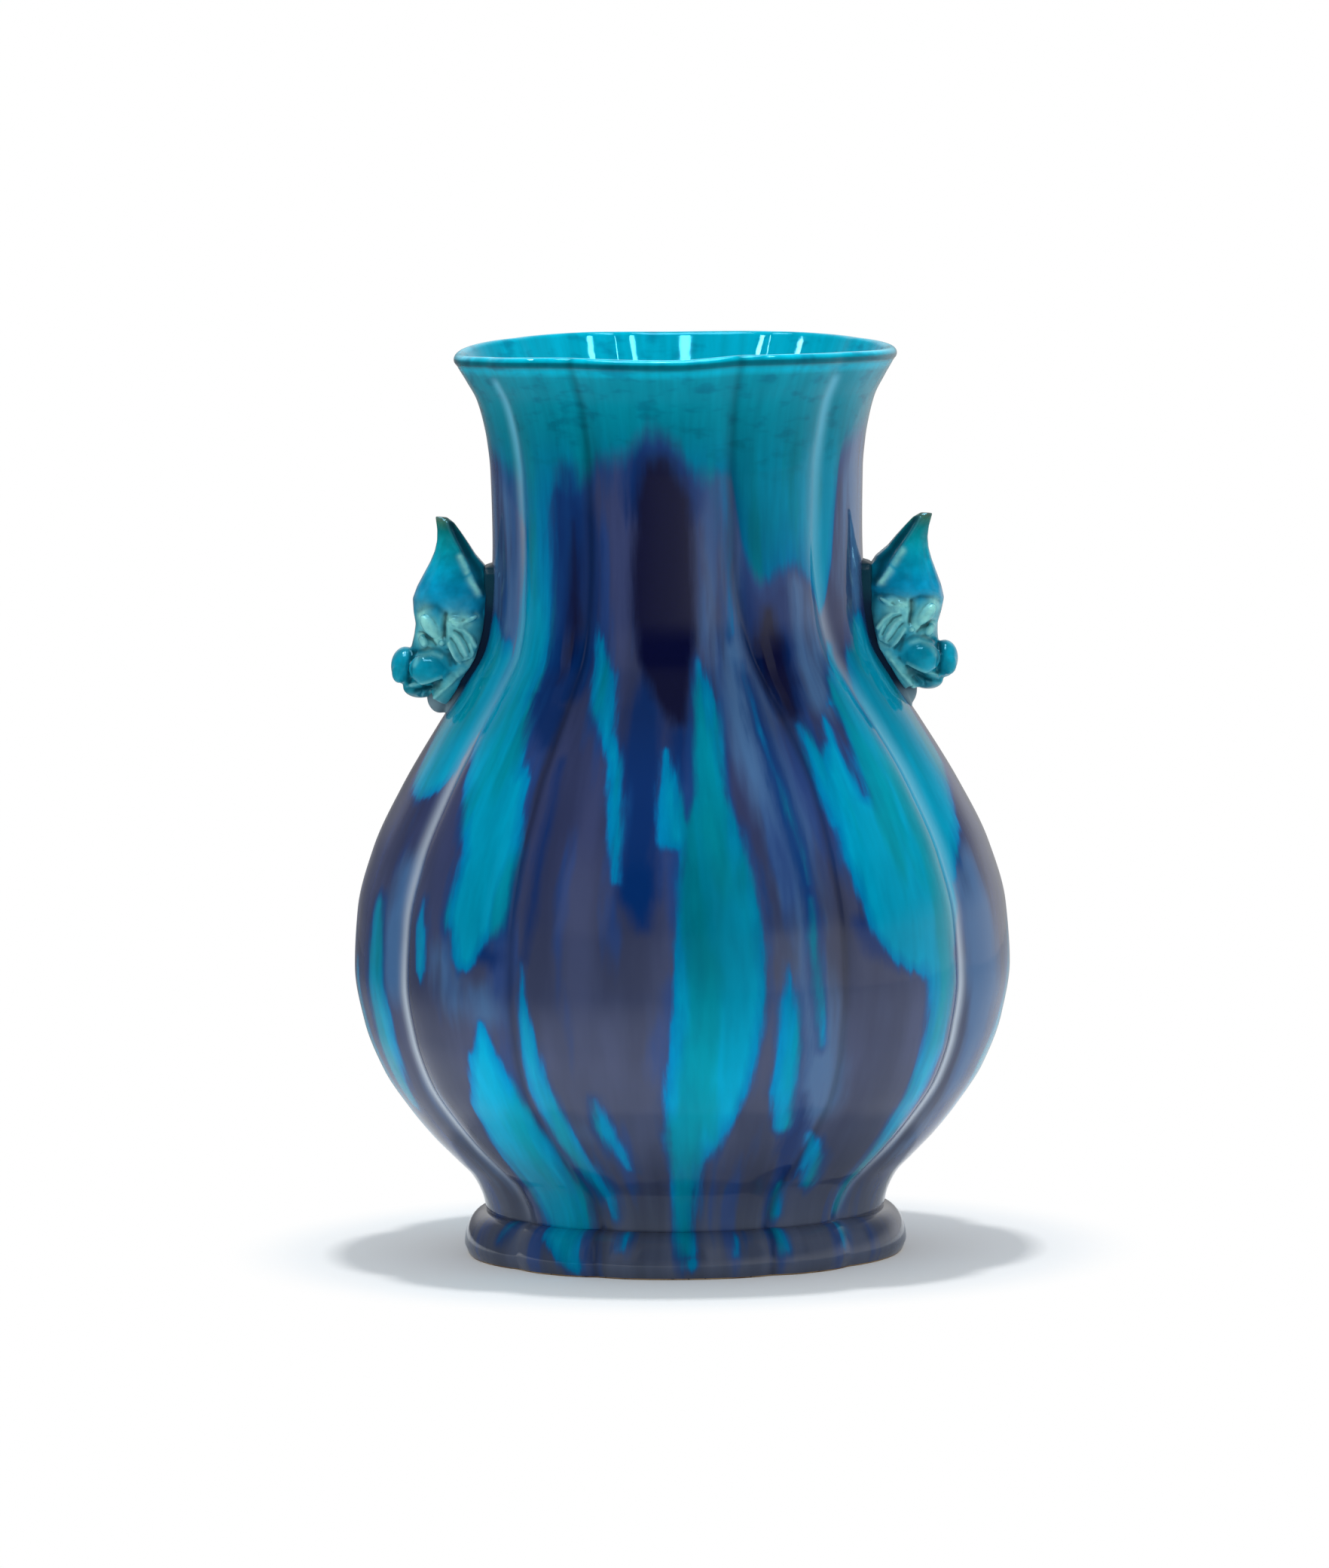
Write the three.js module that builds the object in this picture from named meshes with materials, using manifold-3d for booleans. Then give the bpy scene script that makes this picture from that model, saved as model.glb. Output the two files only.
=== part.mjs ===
// A glazed hu vase, built from the clay pieces that a potter lutes together:
// a foot ring, a base slab, three lobed body sections and a lip coil,
// with a beast mask on each side of the neck.
// Sizes are in millimetres. The foot stands on Z = 0 and the vase turns about the Z axis.
// The front faces -Y, and angles run from the front (0 degrees) towards +X.
import * as THREE from "three";
import { mergeVertices } from "three/addons/utils/BufferGeometryUtils.js";
import Module from "manifold-3d";

const wasm = await Module();
wasm.setup();

// Heights of the pieces, from the ground up
const footHeight = 15;
const lowerBodyHeight = 81;
const upperBodyHeight = 106;
const neckHeight = 89;
const lipHeight = 9;

// Radii of the outline at the crest of a lobe
const footRadius = 73.1;
const waistRadius = 65.8;
const bellyRadius = 108.2;
const neckRootRadius = 64;
const neckRadius = 60.9;
const neckTopRadius = 69;
const lipRadius = 72.9;

// How the outline swells between those radii: share of the height, share of the radius
const lowerBodyCurve = [
  [0.05, 0.02], [0.1, 0.058], [0.15, 0.115], [0.21, 0.226],
  [0.31, 0.411], [0.43, 0.595], [0.58, 0.783], [0.78, 0.931],
];
const upperBodyCurve = [[0.18, 0.027], [0.37, 0.15], [0.56, 0.37], [0.75, 0.643], [0.89, 0.86]];
const neckWaistHeight = 36;      // narrowest point, above the root of the neck
const neckRootCurve = [[0.36, 0.71]];
const neckFlareCurve = [[0.41, 0.05], [0.59, 0.165], [0.7, 0.29], [0.87, 0.575]];

// Clay thickness, thinning from the crease above the foot to the lip
const waistWall = 6.2;
const lipWall = 3;

// Rounded bead round the mouth: its arc runs from below the outside over to the inside
const lipBeadRadius = 2;
const lipBeadStart = -50;
const lipBeadEnd = 160;

// Foot ring and base slab
const footEdgeHeight = 3.6;      // height of the widest point of the foot
const footContactRadius = 71.9;  // outer edge of the ring that touches the ground
const footContactWidth = 9;
const slabThickness = 6;
const slabSeatWidth = 6;         // how far the slab reaches over the foot ring

// Grooves between the lobes, in degrees; the back repeats the front, turned half round
const frontGrooves = [
  { foot: -51.5, belly: -60.5, lip: -59.5 },
  { foot: -24.6, belly: -32.4, lip: -28.6 },
  { foot: 23.7, belly: 30.3, lip: 17.4 },
  { foot: 49.5, belly: 60.5, lip: 50 },
];
const footGrooveDepth = 1.8;
const bellyGrooveDepth = 4;
const neckGrooveDepth = 2.6;
const lipGrooveDepth = 1.2;
const wideLobeFullness = 4.5;    // a higher power gives a flatter lobe with a tighter groove
const narrowLobeFullness = 2.8;
const footDriftEnd = 0.7;        // grooves reach their belly places at this share of the belly's height
const neckDriftStart = 0.6;      // and leave them at this share of the shoulder's height

// How finely the curved faces are divided
const wideLobeSteps = 8;
const narrowLobeSteps = 5;
const footCurveSteps = 6;
const lowerBodySteps = 9;
const upperBodySteps = 10;
const neckSteps = 10;
const innerFaceSteps = 6;
const lipBeadSteps = 6;
const slabSides = 48;
const maskSides = 20;
const pelletSides = 14;
const pelletRings = 9;
const stemRoundSteps = 8;

// Beast masks, measured out from the neck, sideways from the mask's middle and up from its centre
const maskAboveRoot = 3;         // centre of the mask above the root of the neck
const stemThickness = 2.7;       // clay between the vase and the mask
const stemTop = 24;
const stemBottom = -26;
const stemTopWidth = 20;
const stemBottomWidth = 12;
const chinPad = { out: 14.6, side: 0, up: -20, size: [4.8, 5.6, 6.2], tilt: 0 };
const clearance = 0.3;           // glaze gap between pieces that are pressed together
const headSections = [
  { up: -17.5, inner: 10, outer: 22.5, width: 12 },
  { up: -14, inner: 5, outer: 26.4, width: 18 },
  { up: -10, inner: 1, outer: 27.6, width: 21.5 },
  { up: -5, inner: -1, outer: 27, width: 24 },
  { up: 0, inner: -2, outer: 25, width: 26.5 },
  { up: 3.5, inner: -2, outer: 24.4, width: 28 },
  { up: 7.5, inner: -2, outer: 25.6, width: 29 },
  { up: 11.5, inner: -2, outer: 26.3, width: 29 },
];
const crestSections = [
  { up: 0, inner: -2, outer: 26.3, width: 29 },
  { up: 4, inner: -2, outer: 24.8, width: 28 },
  { up: 9.5, inner: -2, outer: 22.4, width: 24 },
  { up: 12.6, inner: 2.4, outer: 20.6, width: 20 },
  { up: 16.2, inner: 6.2, outer: 18.9, width: 15.5 },
  { up: 19.7, inner: 8.6, outer: 18.2, width: 11.5 },
  { up: 23.2, inner: 11, outer: 18.1, width: 8 },
  { up: 26, inner: 13.2, outer: 18.6, width: 5 },
  { up: 27.6, inner: 15.4, outer: 18.9, width: 2.6 },
];
const maskSquareness = 2.4;      // 2 is an ellipse, higher is squarer
const nose = { out: 28.2, side: 0, up: -9.6, size: [4, 6, 6.4], tilt: 0 };
const jaw = { out: 22.3, side: 0, up: -16.8, size: [5.8, 7.4, 2.8], tilt: 8 };
const brow = { out: 20.8, side: 11, up: 5, size: [3.7, 3.4, 5.4], tilt: -12 };
const ear = { out: 11, side: 13.4, up: 7.6, size: [5, 3.4, 3.4], tilt: 18 };
const mane = { out: 8.6, side: 11.8, up: -3, size: [3.2, 3.2, 6.2], tilt: -30 };

// How each mask was pressed on: its distance from the neck's waist, and its tilt about a point
// of its own frame; the right crest leans away from the neck
const rightMask = { out: 0.5, tilt: 4 };
const leftMask = { out: 1.4, tilt: -5 };
const maskPivot = { out: 15, up: 5 };

// Heights where the pieces meet
const bellyZ = footHeight + lowerBodyHeight;
const neckRootZ = bellyZ + upperBodyHeight;
const neckWaistZ = neckRootZ + neckWaistHeight;
const neckTopZ = neckRootZ + neckHeight;
const mouthZ = neckTopZ + lipHeight;

// A smooth curve through [z, value] points that never overshoots them
function smoothCurve(points) {
  const rises = points.slice(1).map(([z, value], i) => (value - points[i][1]) / (z - points[i][0]));
  const slopes = points.map((point, i) => {
    const before = rises[Math.max(i - 1, 0)];
    const after = rises[Math.min(i, rises.length - 1)];
    return before * after > 0 ? (2 * before * after) / (before + after) : 0;
  });
  return (z) => {
    const found = points.findIndex(([height]) => height >= z);
    const i = found < 0 ? points.length - 2 : Math.max(found - 1, 0);
    const span = points[i + 1][0] - points[i][0];
    const t = (z - points[i][0]) / span;
    const start = (1 + 2 * t) * (1 - t) ** 2 * points[i][1] + t * (1 - t) ** 2 * span * slopes[i];
    const end = t ** 2 * (3 - 2 * t) * points[i + 1][1] - t ** 2 * (1 - t) * span * slopes[i + 1];
    return start + end;
  };
}

// Points of a curve given as shares between two heights and two radii
function between(startZ, startRadius, endZ, endRadius, shares) {
  return shares.map(([height, radius]) => [
    THREE.MathUtils.lerp(startZ, endZ, height),
    THREE.MathUtils.lerp(startRadius, endRadius, radius),
  ]);
}

const crestRadius = smoothCurve([
  [footHeight, waistRadius],
  ...between(footHeight, waistRadius, bellyZ, bellyRadius, lowerBodyCurve),
  [bellyZ, bellyRadius],
  ...between(bellyZ, bellyRadius, neckRootZ, neckRootRadius, upperBodyCurve),
  [neckRootZ, neckRootRadius],
  ...between(neckRootZ, neckRootRadius, neckWaistZ, neckRadius, neckRootCurve),
  [neckWaistZ, neckRadius],
  ...between(neckWaistZ, neckRadius, neckTopZ, neckTopRadius, neckFlareCurve),
  [neckTopZ, neckTopRadius],
]);

const grooveDepth = smoothCurve([
  [0, footGrooveDepth],
  [bellyZ, bellyGrooveDepth],
  [neckWaistZ, neckGrooveDepth],
  [mouthZ, lipGrooveDepth],
]);

// Length along the wall for each millimetre of height
function wallSlope(z) {
  const step = 0.5;
  return Math.hypot(1, (crestRadius(z + step) - crestRadius(z - step)) / (2 * step));
}

// Radial distance from the outer to the inner face of the wall
function wallDepth(z) {
  const height = (z - footHeight) / (neckTopZ - footHeight);
  return THREE.MathUtils.lerp(waistWall, lipWall, height) * wallSlope(z);
}

// The angle of a groove at a height, counted on round the vase past the front four
function grooveAngle(index, z) {
  const groove = frontGrooves[index % frontGrooves.length];
  const turn = Math.floor(index / frontGrooves.length) * 180;
  const neckDriftZ = THREE.MathUtils.lerp(bellyZ, neckRootZ, neckDriftStart);
  const low = THREE.MathUtils.smoothstep(z, 0, footDriftEnd * bellyZ);
  const high = THREE.MathUtils.smoothstep(z, neckDriftZ, neckWaistZ);
  const degrees = groove.foot * (1 - low) + groove.belly * (low - high) + groove.lip * high;
  return THREE.MathUtils.degToRad(degrees + turn);
}

// Places round a lobed section, closer together beside the grooves
function lobePlaces() {
  const places = [];
  for (let lobe = 0; lobe < 2 * frontGrooves.length; lobe++) {
    const wide = lobe % 2 === 1;
    const steps = wide ? wideLobeSteps : narrowLobeSteps;
    const fullness = wide ? wideLobeFullness : narrowLobeFullness;
    for (let step = 0; step < steps; step++) {
      const share = step / steps;
      const across = Math.sin((share - 0.5) * Math.PI);
      places.push({ lobe, share, across, drop: Math.abs(across) ** fullness });
    }
  }
  return places;
}

const places = lobePlaces();

// A point of a loop round the vase, at a share of the way across a lobe
function loopPoint(lobe, share, reach, z) {
  const angle = THREE.MathUtils.lerp(grooveAngle(lobe, z), grooveAngle(lobe + 1, z), share);
  return new THREE.Vector3(reach * Math.sin(angle), -reach * Math.cos(angle), z);
}

// One closed lobed loop round the vase, in a level plane
function lobedLoop(z, radius) {
  return places.map(({ lobe, across, drop }) => {
    return loopPoint(lobe, (across + 1) / 2, radius - grooveDepth(z) * drop, z);
  });
}

// A plain circle with the same points, evenly spaced across each lobe
function roundLoop(z, radius) {
  return places.map(({ lobe, share }) => loopPoint(lobe, share, radius, z));
}

// A closed skin over loops that hold the same number of points.
// A ring joins its last loop to its first, and anything else is capped at both ends.
function skin(loops, ring = false) {
  const count = loops[0].length;
  const points = loops.flat();
  const faces = [];
  const last = ring ? loops.length : loops.length - 1;
  for (let i = 0; i < last; i++) {
    const low = i * count;
    const high = ((i + 1) % loops.length) * count;
    for (let j = 0; j < count; j++) {
      const next = (j + 1) % count;
      faces.push(low + j, low + next, high + next);
      faces.push(low + j, high + next, high + j);
    }
  }
  if (!ring) {
    for (const [loop, top] of [[0, false], [loops.length - 1, true]]) {
      const middle = new THREE.Vector3();
      loops[loop].forEach((point) => middle.addScaledVector(point, 1 / count));
      points.push(middle);
      for (let j = 0; j < count; j++) {
        const here = loop * count + j;
        const next = loop * count + ((j + 1) % count);
        faces.push(points.length - 1, top ? here : next, top ? next : here);
      }
    }
  }
  const geometry = new THREE.BufferGeometry().setFromPoints(points);
  geometry.setIndex(faces);
  return geometry;
}

// A geometry as a solid that can be joined and cut
function solid(geometry) {
  const bare = geometry.clone();
  bare.deleteAttribute("normal");
  bare.deleteAttribute("uv");
  const merged = mergeVertices(bare);
  const vertProperties = merged.getAttribute("position").array;
  const triVerts = new Uint32Array(merged.index.array);
  return new wasm.Manifold(new wasm.Mesh({ numProp: 3, vertProperties, triVerts }));
}

// A cut solid as a geometry again
function shape(body) {
  const { vertProperties, triVerts } = body.getMesh();
  const geometry = new THREE.BufferGeometry();
  geometry.setAttribute("position", new THREE.BufferAttribute(vertProperties, 3));
  geometry.setIndex(new THREE.BufferAttribute(triVerts, 1));
  return geometry;
}

// Evenly spaced heights, both ends included
function heights(from, to, steps) {
  return Array.from({ length: steps + 1 }, (_, i) => THREE.MathUtils.lerp(from, to, i / steps));
}

// One section of the body: its outer face going up, then its inner face coming down
function bodySection(from, to, steps) {
  const outside = heights(from, to, steps).map((z) => lobedLoop(z, crestRadius(z)));
  const inside = heights(to, from, innerFaceSteps).map((z) => lobedLoop(z, crestRadius(z) - wallDepth(z)));
  return skin([...outside, ...inside], true);
}

// The outer face of the body above the belly, as a full solid, grown outwards by a margin
function bodyCore(margin) {
  const levels = heights(bellyZ, neckRootZ, upperBodySteps);
  levels.push(...heights(neckRootZ, neckTopZ, neckSteps).slice(1));
  return solid(skin(levels.map((z) => lobedLoop(z, crestRadius(z) + margin * wallSlope(z)))));
}

function footRing() {
  const loops = [lobedLoop(0, footContactRadius)];
  for (let i = 0; i <= footCurveSteps; i++) {
    const angle = (i / footCurveSteps) * (Math.PI / 2);
    const radius = waistRadius + (footRadius - waistRadius) * Math.cos(angle);
    const z = footEdgeHeight + (footHeight - footEdgeHeight) * Math.sin(angle);
    loops.push(lobedLoop(z, radius));
  }
  loops.push(roundLoop(footHeight, slabRadius - slabSeatWidth));
  loops.push(roundLoop(0, footContactRadius - footContactWidth));
  return skin(loops, true);
}

// The slab drops inside the wall, clear of the deepest groove
const slabRadius = waistRadius - wallDepth(footHeight) - grooveDepth(footHeight) - clearance;

function baseSlab() {
  const slab = new THREE.CylinderGeometry(slabRadius, slabRadius, slabThickness, slabSides);
  slab.rotateX(Math.PI / 2);
  return slab.translate(0, 0, footHeight + slabThickness / 2);
}

function lip() {
  const loops = [lobedLoop(neckTopZ, neckTopRadius)];
  for (let i = 0; i <= lipBeadSteps; i++) {
    const degrees = THREE.MathUtils.lerp(lipBeadStart, lipBeadEnd, i / lipBeadSteps);
    const angle = THREE.MathUtils.degToRad(degrees);
    const radius = lipRadius - lipBeadRadius + lipBeadRadius * Math.cos(angle);
    const z = mouthZ - lipBeadRadius + lipBeadRadius * Math.sin(angle);
    loops.push(lobedLoop(z, radius));
  }
  loops.push(lobedLoop(neckTopZ, neckTopRadius - wallDepth(neckTopZ)));
  return skin(loops, true);
}

// Frame of a mask on the right of the vase: out is +X from the neck, side is Y, up is Z
const maskZ = neckRootZ + maskAboveRoot;

// Moves a form from its mask's own frame to its place on the vase
function onMask(geometry, { out, tilt }) {
  geometry.translate(-maskPivot.out, 0, -maskPivot.up);
  geometry.rotateY(THREE.MathUtils.degToRad(tilt));
  geometry.translate(neckRadius + out + maskPivot.out, 0, maskZ + maskPivot.up);
  return solid(geometry);
}

// A level section of a mask with rounded corners
function maskLoop({ up, inner, outer, width }, margin) {
  const halfLength = (outer - inner) / 2 + margin;
  const halfWidth = width / 2 + margin;
  const power = 2 / maskSquareness;
  return Array.from({ length: maskSides }, (_, i) => {
    const angle = (i / maskSides) * 2 * Math.PI;
    const along = Math.sign(Math.cos(angle)) * Math.abs(Math.cos(angle)) ** power;
    const across = Math.sign(Math.sin(angle)) * Math.abs(Math.sin(angle)) ** power;
    return new THREE.Vector3((inner + outer) / 2 + halfLength * along, halfWidth * across, up);
  });
}

// A mask form lofted through its sections
function maskLoft(sections, base, seat, margin = 0) {
  const loops = sections.map((section, i) => {
    const end = i === 0 ? -margin : i === sections.length - 1 ? margin : 0;
    return maskLoop({ ...section, up: base + section.up + end }, margin);
  });
  return onMask(skin(loops), seat);
}

// A rounded pellet of clay; sign is -1 towards the front of the vase and 1 towards the back
function pellet({ out, side, up, size, tilt }, seat, sign = 1, margin = 0) {
  const ball = new THREE.SphereGeometry(1, pelletSides, pelletRings);
  ball.rotateX(Math.PI / 2);
  ball.scale(size[0] + margin, size[1] + margin, size[2] + margin);
  ball.rotateY(THREE.MathUtils.degToRad(tilt));
  return onMask(ball.translate(out, sign * side, up), seat);
}

// The pad on the face of the vase that carries the mask, within an outline seen from the side
function stemBlock() {
  const outline = new THREE.Shape();
  const shoulder = stemBottomWidth / 2;
  outline.moveTo(-shoulder, stemBottom + shoulder);
  outline.absarc(0, stemBottom + shoulder, shoulder, Math.PI, 2 * Math.PI, false);
  outline.lineTo(stemTopWidth / 2, stemTop);
  outline.lineTo(-stemTopWidth / 2, stemTop);
  const settings = { depth: bellyRadius, bevelEnabled: false, curveSegments: stemRoundSteps };
  const block = new THREE.ExtrudeGeometry(outline, settings);
  const toSide = new THREE.Matrix4().makeBasis(
    new THREE.Vector3(0, 1, 0),
    new THREE.Vector3(0, 0, 1),
    new THREE.Vector3(1, 0, 0),
  );
  return solid(block.applyMatrix4(toSide).translate(neckRadius / 2, 0, maskZ));
}

// Every piece of a mask, keyed by what it is and by its side: near is -Y and far is +Y
function maskPieces(seat) {
  const crestBase = headSections[headSections.length - 1].up + clearance;
  const headCutter = maskLoft(headSections, 0, seat, clearance);
  const crestCutter = maskLoft(crestSections, crestBase, seat, clearance);
  const noseCutter = pellet(nose, seat, 1, clearance);
  const jawCutter = pellet(jaw, seat, 1, clearance);
  const standOff = bodyCore(stemThickness);
  const stemFace = bodyCore(stemThickness - clearance);
  const layer = stemBlock().intersect(stemFace);
  const stem = layer.add(pellet(chinPad, seat)).subtract(bodyCore(clearance));
  const pieces = {
    stem: stem.subtract(headCutter.add(jawCutter).subtract(stemFace)),
    head: maskLoft(headSections, 0, seat).subtract(standOff),
    crest: maskLoft(crestSections, crestBase, seat).subtract(standOff),
    nose: pellet(nose, seat).subtract(headCutter),
    jaw: pellet(jaw, seat).subtract(headCutter).subtract(noseCutter),
  };
  for (const [end, sign] of [["near", -1], ["far", 1]]) {
    pieces[`brow_${end}`] = pellet(brow, seat, sign).subtract(headCutter);
    pieces[`ear_${end}`] = pellet(ear, seat, sign).subtract(headCutter).subtract(crestCutter);
    pieces[`mane_${end}`] = pellet(mane, seat, sign).subtract(headCutter).subtract(standOff);
  }
  return pieces;
}

// Materials: a splashed glaze on the body, a clear turquoise glaze on the masks
function splashedGlaze() {
  return new THREE.MeshStandardMaterial({ color: 0x1d5f98, roughness: 0.12, metalness: 0 });
}

function aubergineGlaze() {
  return new THREE.MeshStandardMaterial({ color: 0x2c2444, roughness: 0.12, metalness: 0 });
}

function turquoiseGlaze() {
  return new THREE.MeshStandardMaterial({ color: 0x0b8fae, roughness: 0.12, metalness: 0 });
}

function paleGlaze() {
  return new THREE.MeshStandardMaterial({ color: 0x78c3c4, roughness: 0.14, metalness: 0 });
}

function place(name, geometry, material) {
  const mesh = new THREE.Mesh(geometry, material);
  mesh.name = name;
  return mesh;
}

function body() {
  const group = new THREE.Group();
  group.add(place("foot_ring", footRing(), aubergineGlaze()));
  group.add(place("base_slab", baseSlab(), turquoiseGlaze()));
  group.add(place("lower_body", bodySection(footHeight, bellyZ, lowerBodySteps), splashedGlaze()));
  group.add(place("upper_body", bodySection(bellyZ, neckRootZ, upperBodySteps), splashedGlaze()));
  group.add(place("neck", bodySection(neckRootZ, neckTopZ, neckSteps), splashedGlaze()));
  group.add(place("lip", lip(), turquoiseGlaze()));
  return group;
}

// One mask; the left one is turned half round the vase, so its near side lies at the back
function mask(side, seat, ends, turn) {
  const group = new THREE.Group();
  for (const [key, piece] of Object.entries(maskPieces(seat))) {
    const name = key.replace(/near|far/, (end) => ends[end]);
    const pale = /brow|ear|mane/.test(key);
    const material = key === "stem" ? aubergineGlaze() : pale ? paleGlaze() : turquoiseGlaze();
    group.add(place(`${side}_${name}`, shape(piece), material));
  }
  group.rotation.z = turn;
  return group;
}

const vase = new THREE.Group();
vase.add(body());
vase.add(mask("right", rightMask, { near: "front", far: "back" }, 0));
vase.add(mask("left", leftMask, { near: "back", far: "front" }, Math.PI));

export default vase;
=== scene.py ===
import bpy
import bmesh
import math
import numpy as np
from mathutils import Matrix, Vector


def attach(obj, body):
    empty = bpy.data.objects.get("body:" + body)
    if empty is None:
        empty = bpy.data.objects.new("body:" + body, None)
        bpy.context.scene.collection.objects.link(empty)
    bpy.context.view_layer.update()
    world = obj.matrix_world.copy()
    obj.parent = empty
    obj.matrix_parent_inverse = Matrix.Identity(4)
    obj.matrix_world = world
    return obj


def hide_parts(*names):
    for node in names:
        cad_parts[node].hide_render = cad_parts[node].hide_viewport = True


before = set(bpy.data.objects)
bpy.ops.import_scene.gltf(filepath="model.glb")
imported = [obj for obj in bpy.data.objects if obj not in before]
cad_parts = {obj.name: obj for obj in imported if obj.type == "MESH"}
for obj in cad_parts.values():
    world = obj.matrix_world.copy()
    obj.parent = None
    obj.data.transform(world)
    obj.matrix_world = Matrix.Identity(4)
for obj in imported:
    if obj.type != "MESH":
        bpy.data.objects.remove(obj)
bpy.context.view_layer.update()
mm = 0.001


# small helpers

def linear(hexColour):  # sRGB hex to the linear colour that the shaders use
    channels = [int(hexColour[i:i + 2], 16) / 255 for i in (1, 3, 5)]
    return tuple(c / 12.92 if c <= 0.04045 else ((c + 0.055) / 1.055) ** 2.4 for c in channels) + (1.0,)


def addNode(tree, kind, settings=None, inputs=None):  # an input is a number, a hex colour, a node or a socket
    node = tree.nodes.new("ShaderNode" + kind)
    for name, value in (settings or {}).items():
        setattr(node, name, value)
    for name, value in (inputs or {}).items():
        if isinstance(value, bpy.types.Node):
            value = value.outputs[0]
        if isinstance(value, bpy.types.NodeSocket):
            tree.links.new(value, node.inputs[name])
        else:
            node.inputs[name].default_value = linear(value) if isinstance(value, str) else value
    return node


def setRamp(node, stops, mode="LINEAR"):  # stops are (position, hex colour or grey level)
    ramp = node.color_ramp
    ramp.interpolation = mode
    while len(ramp.elements) > 1:
        ramp.elements.remove(ramp.elements[-1])
    for i, (position, colour) in enumerate(stops):
        stop = ramp.elements[0] if i == 0 else ramp.elements.new(position)
        stop.position = position
        stop.color = linear(colour) if isinstance(colour, str) else (colour, colour, colour, 1)


def newMaterial(name):
    material = bpy.data.materials.new(name)
    material.use_nodes = True
    material.node_tree.nodes.clear()
    return material, material.node_tree


def addPiece(name, mesh, material, nodes):
    piece = bpy.data.objects.new(name, mesh)
    bpy.context.scene.collection.objects.link(piece)
    mesh.materials.clear()
    mesh.materials.append(material)
    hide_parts(*nodes)
    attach(piece, "root")
    return piece


def positions(mesh):
    values = np.empty(len(mesh.vertices) * 3)
    mesh.vertices.foreach_get("co", values)
    return values.reshape(-1, 3)


def pointNormals(mesh):
    values = np.empty(len(mesh.vertices) * 3, np.float32)
    mesh.vertex_normals.foreach_get("vector", values)
    return values.reshape(-1, 3).astype(float)


def storeNumbers(mesh, name, values):
    flat = np.ascontiguousarray(values, np.float32)
    mesh.attributes.new(name, "FLOAT", "POINT").data.foreach_set("value", flat)


def storeVectors(mesh, name, values):
    flat = np.ascontiguousarray(values, np.float32).ravel()
    mesh.attributes.new(name, "FLOAT_VECTOR", "POINT").data.foreach_set("vector", flat)


def smoothStep(value, start, end):
    share = np.clip((value - start) / (end - start), 0, 1)
    return share * share * (3 - 2 * share)


def smoothCurve(points):  # a curve through [z, value] points that never overshoots them
    at, value = np.array(points, float).T
    rise = np.diff(value) / np.diff(at)
    before = np.concatenate([rise[:1], rise])
    after = np.concatenate([rise, rise[-1:]])
    same = before * after > 0
    slope = np.where(same, 2 * before * after / np.where(same, before + after, 1), 0)

    def curve(z):
        i = np.clip(np.searchsorted(at, z) - 1, 0, len(at) - 2)
        span = at[i + 1] - at[i]
        t = (z - at[i]) / span
        start = (1 + 2 * t) * (1 - t) ** 2 * value[i] + t * (1 - t) ** 2 * span * slope[i]
        return start + t ** 2 * (3 - 2 * t) * value[i + 1] - t ** 2 * (1 - t) * span * slope[i + 1]
    return curve


# outline of the vase, in millimetres, as in the solid model

outline = {
    "crest": [  # height and radius at the middle of a lobe
        (15, 65.8), (19.05, 66.65), (23.1, 68.26), (27.15, 70.68), (32.01, 75.38), (40.11, 83.23),
        (49.83, 91.03), (61.98, 99), (78.18, 105.27), (96, 108.2), (115.08, 107.01), (135.22, 101.57),
        (155.36, 91.85), (175.5, 79.78), (190.34, 70.19), (202, 64), (214.96, 61.8), (238, 60.9),
        (259.73, 61.31), (269.27, 62.24), (275.1, 63.25), (284.11, 65.56), (291, 69)],
    "seams": (15, 96, 202, 291),    # heights of the crease, the widest line, the neck's root and the lip
    "aboveMouth": 320,
    "grooveDepth": [(0, 1.8), (96, 4), (238, 2.6), (300, 1.2)],
    # degrees from the front at foot, belly and lip
    "grooves": [(-51.5, -60.5, -59.5), (-24.6, -32.4, -28.6), (23.7, 30.3, 17.4), (49.5, 60.5, 50)],
    "grooveSoftness": (2.0, 0.9),   # mm, outer and inner grooves of each face
    "fullness": (3.4, 4.8),         # narrow and wide lobes: higher is flatter with a tighter groove
    "drift": (0, 67.2, 159.6, 238),  # heights where the grooves leave foot, reach belly, leave it, reach lip
    "wall": (6.2, 3),               # clay at the crease and at the lip
    "underBead": [(69.66, 292.2), (70.3, 293.3), (70.94, 294.4), (71.4, 295.2), (71.7, 295.8)],
    "bead": (70.9, 298, 2, -50, 160),   # radius and height of its middle, own radius, start and end angle
    "beadSteps": 16,
    "columns": 576,
    "rows": (1.2, 3.2),             # mm along the outer and the inner face
    "rimFlex": (270, 298),          # the mouth's wave fades in between these heights
    # degrees from the front, and how far the mouth rises there in mm
    "rimWave": [(-90, -1.6), (-57, -0.5), (-30, 0.5), (0, 0), (19, 1.1), (50, 0.3), (90, -0.9),
                (123, -0.1), (150, 0.5), (180, 0.2), (205, 0.8), (232, 0.3)],
}
wallBottom, wallTop = outline["seams"][0], outline["seams"][-1]
crestRadius = smoothCurve(outline["crest"])
grooveDepth = smoothCurve(outline["grooveDepth"])


def crestAt(z):  # the crest's radius, carried on straight below the crease and above the neck
    return crestRadius(np.clip(z, wallBottom, wallTop))


def wallDepth(z):
    low, high = outline["wall"]
    steep = np.hypot(1, crestRadius(z + 0.5) - crestRadius(z - 0.5))
    return (low + (high - low) * (z - wallBottom) / (wallTop - wallBottom)) * steep


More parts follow.
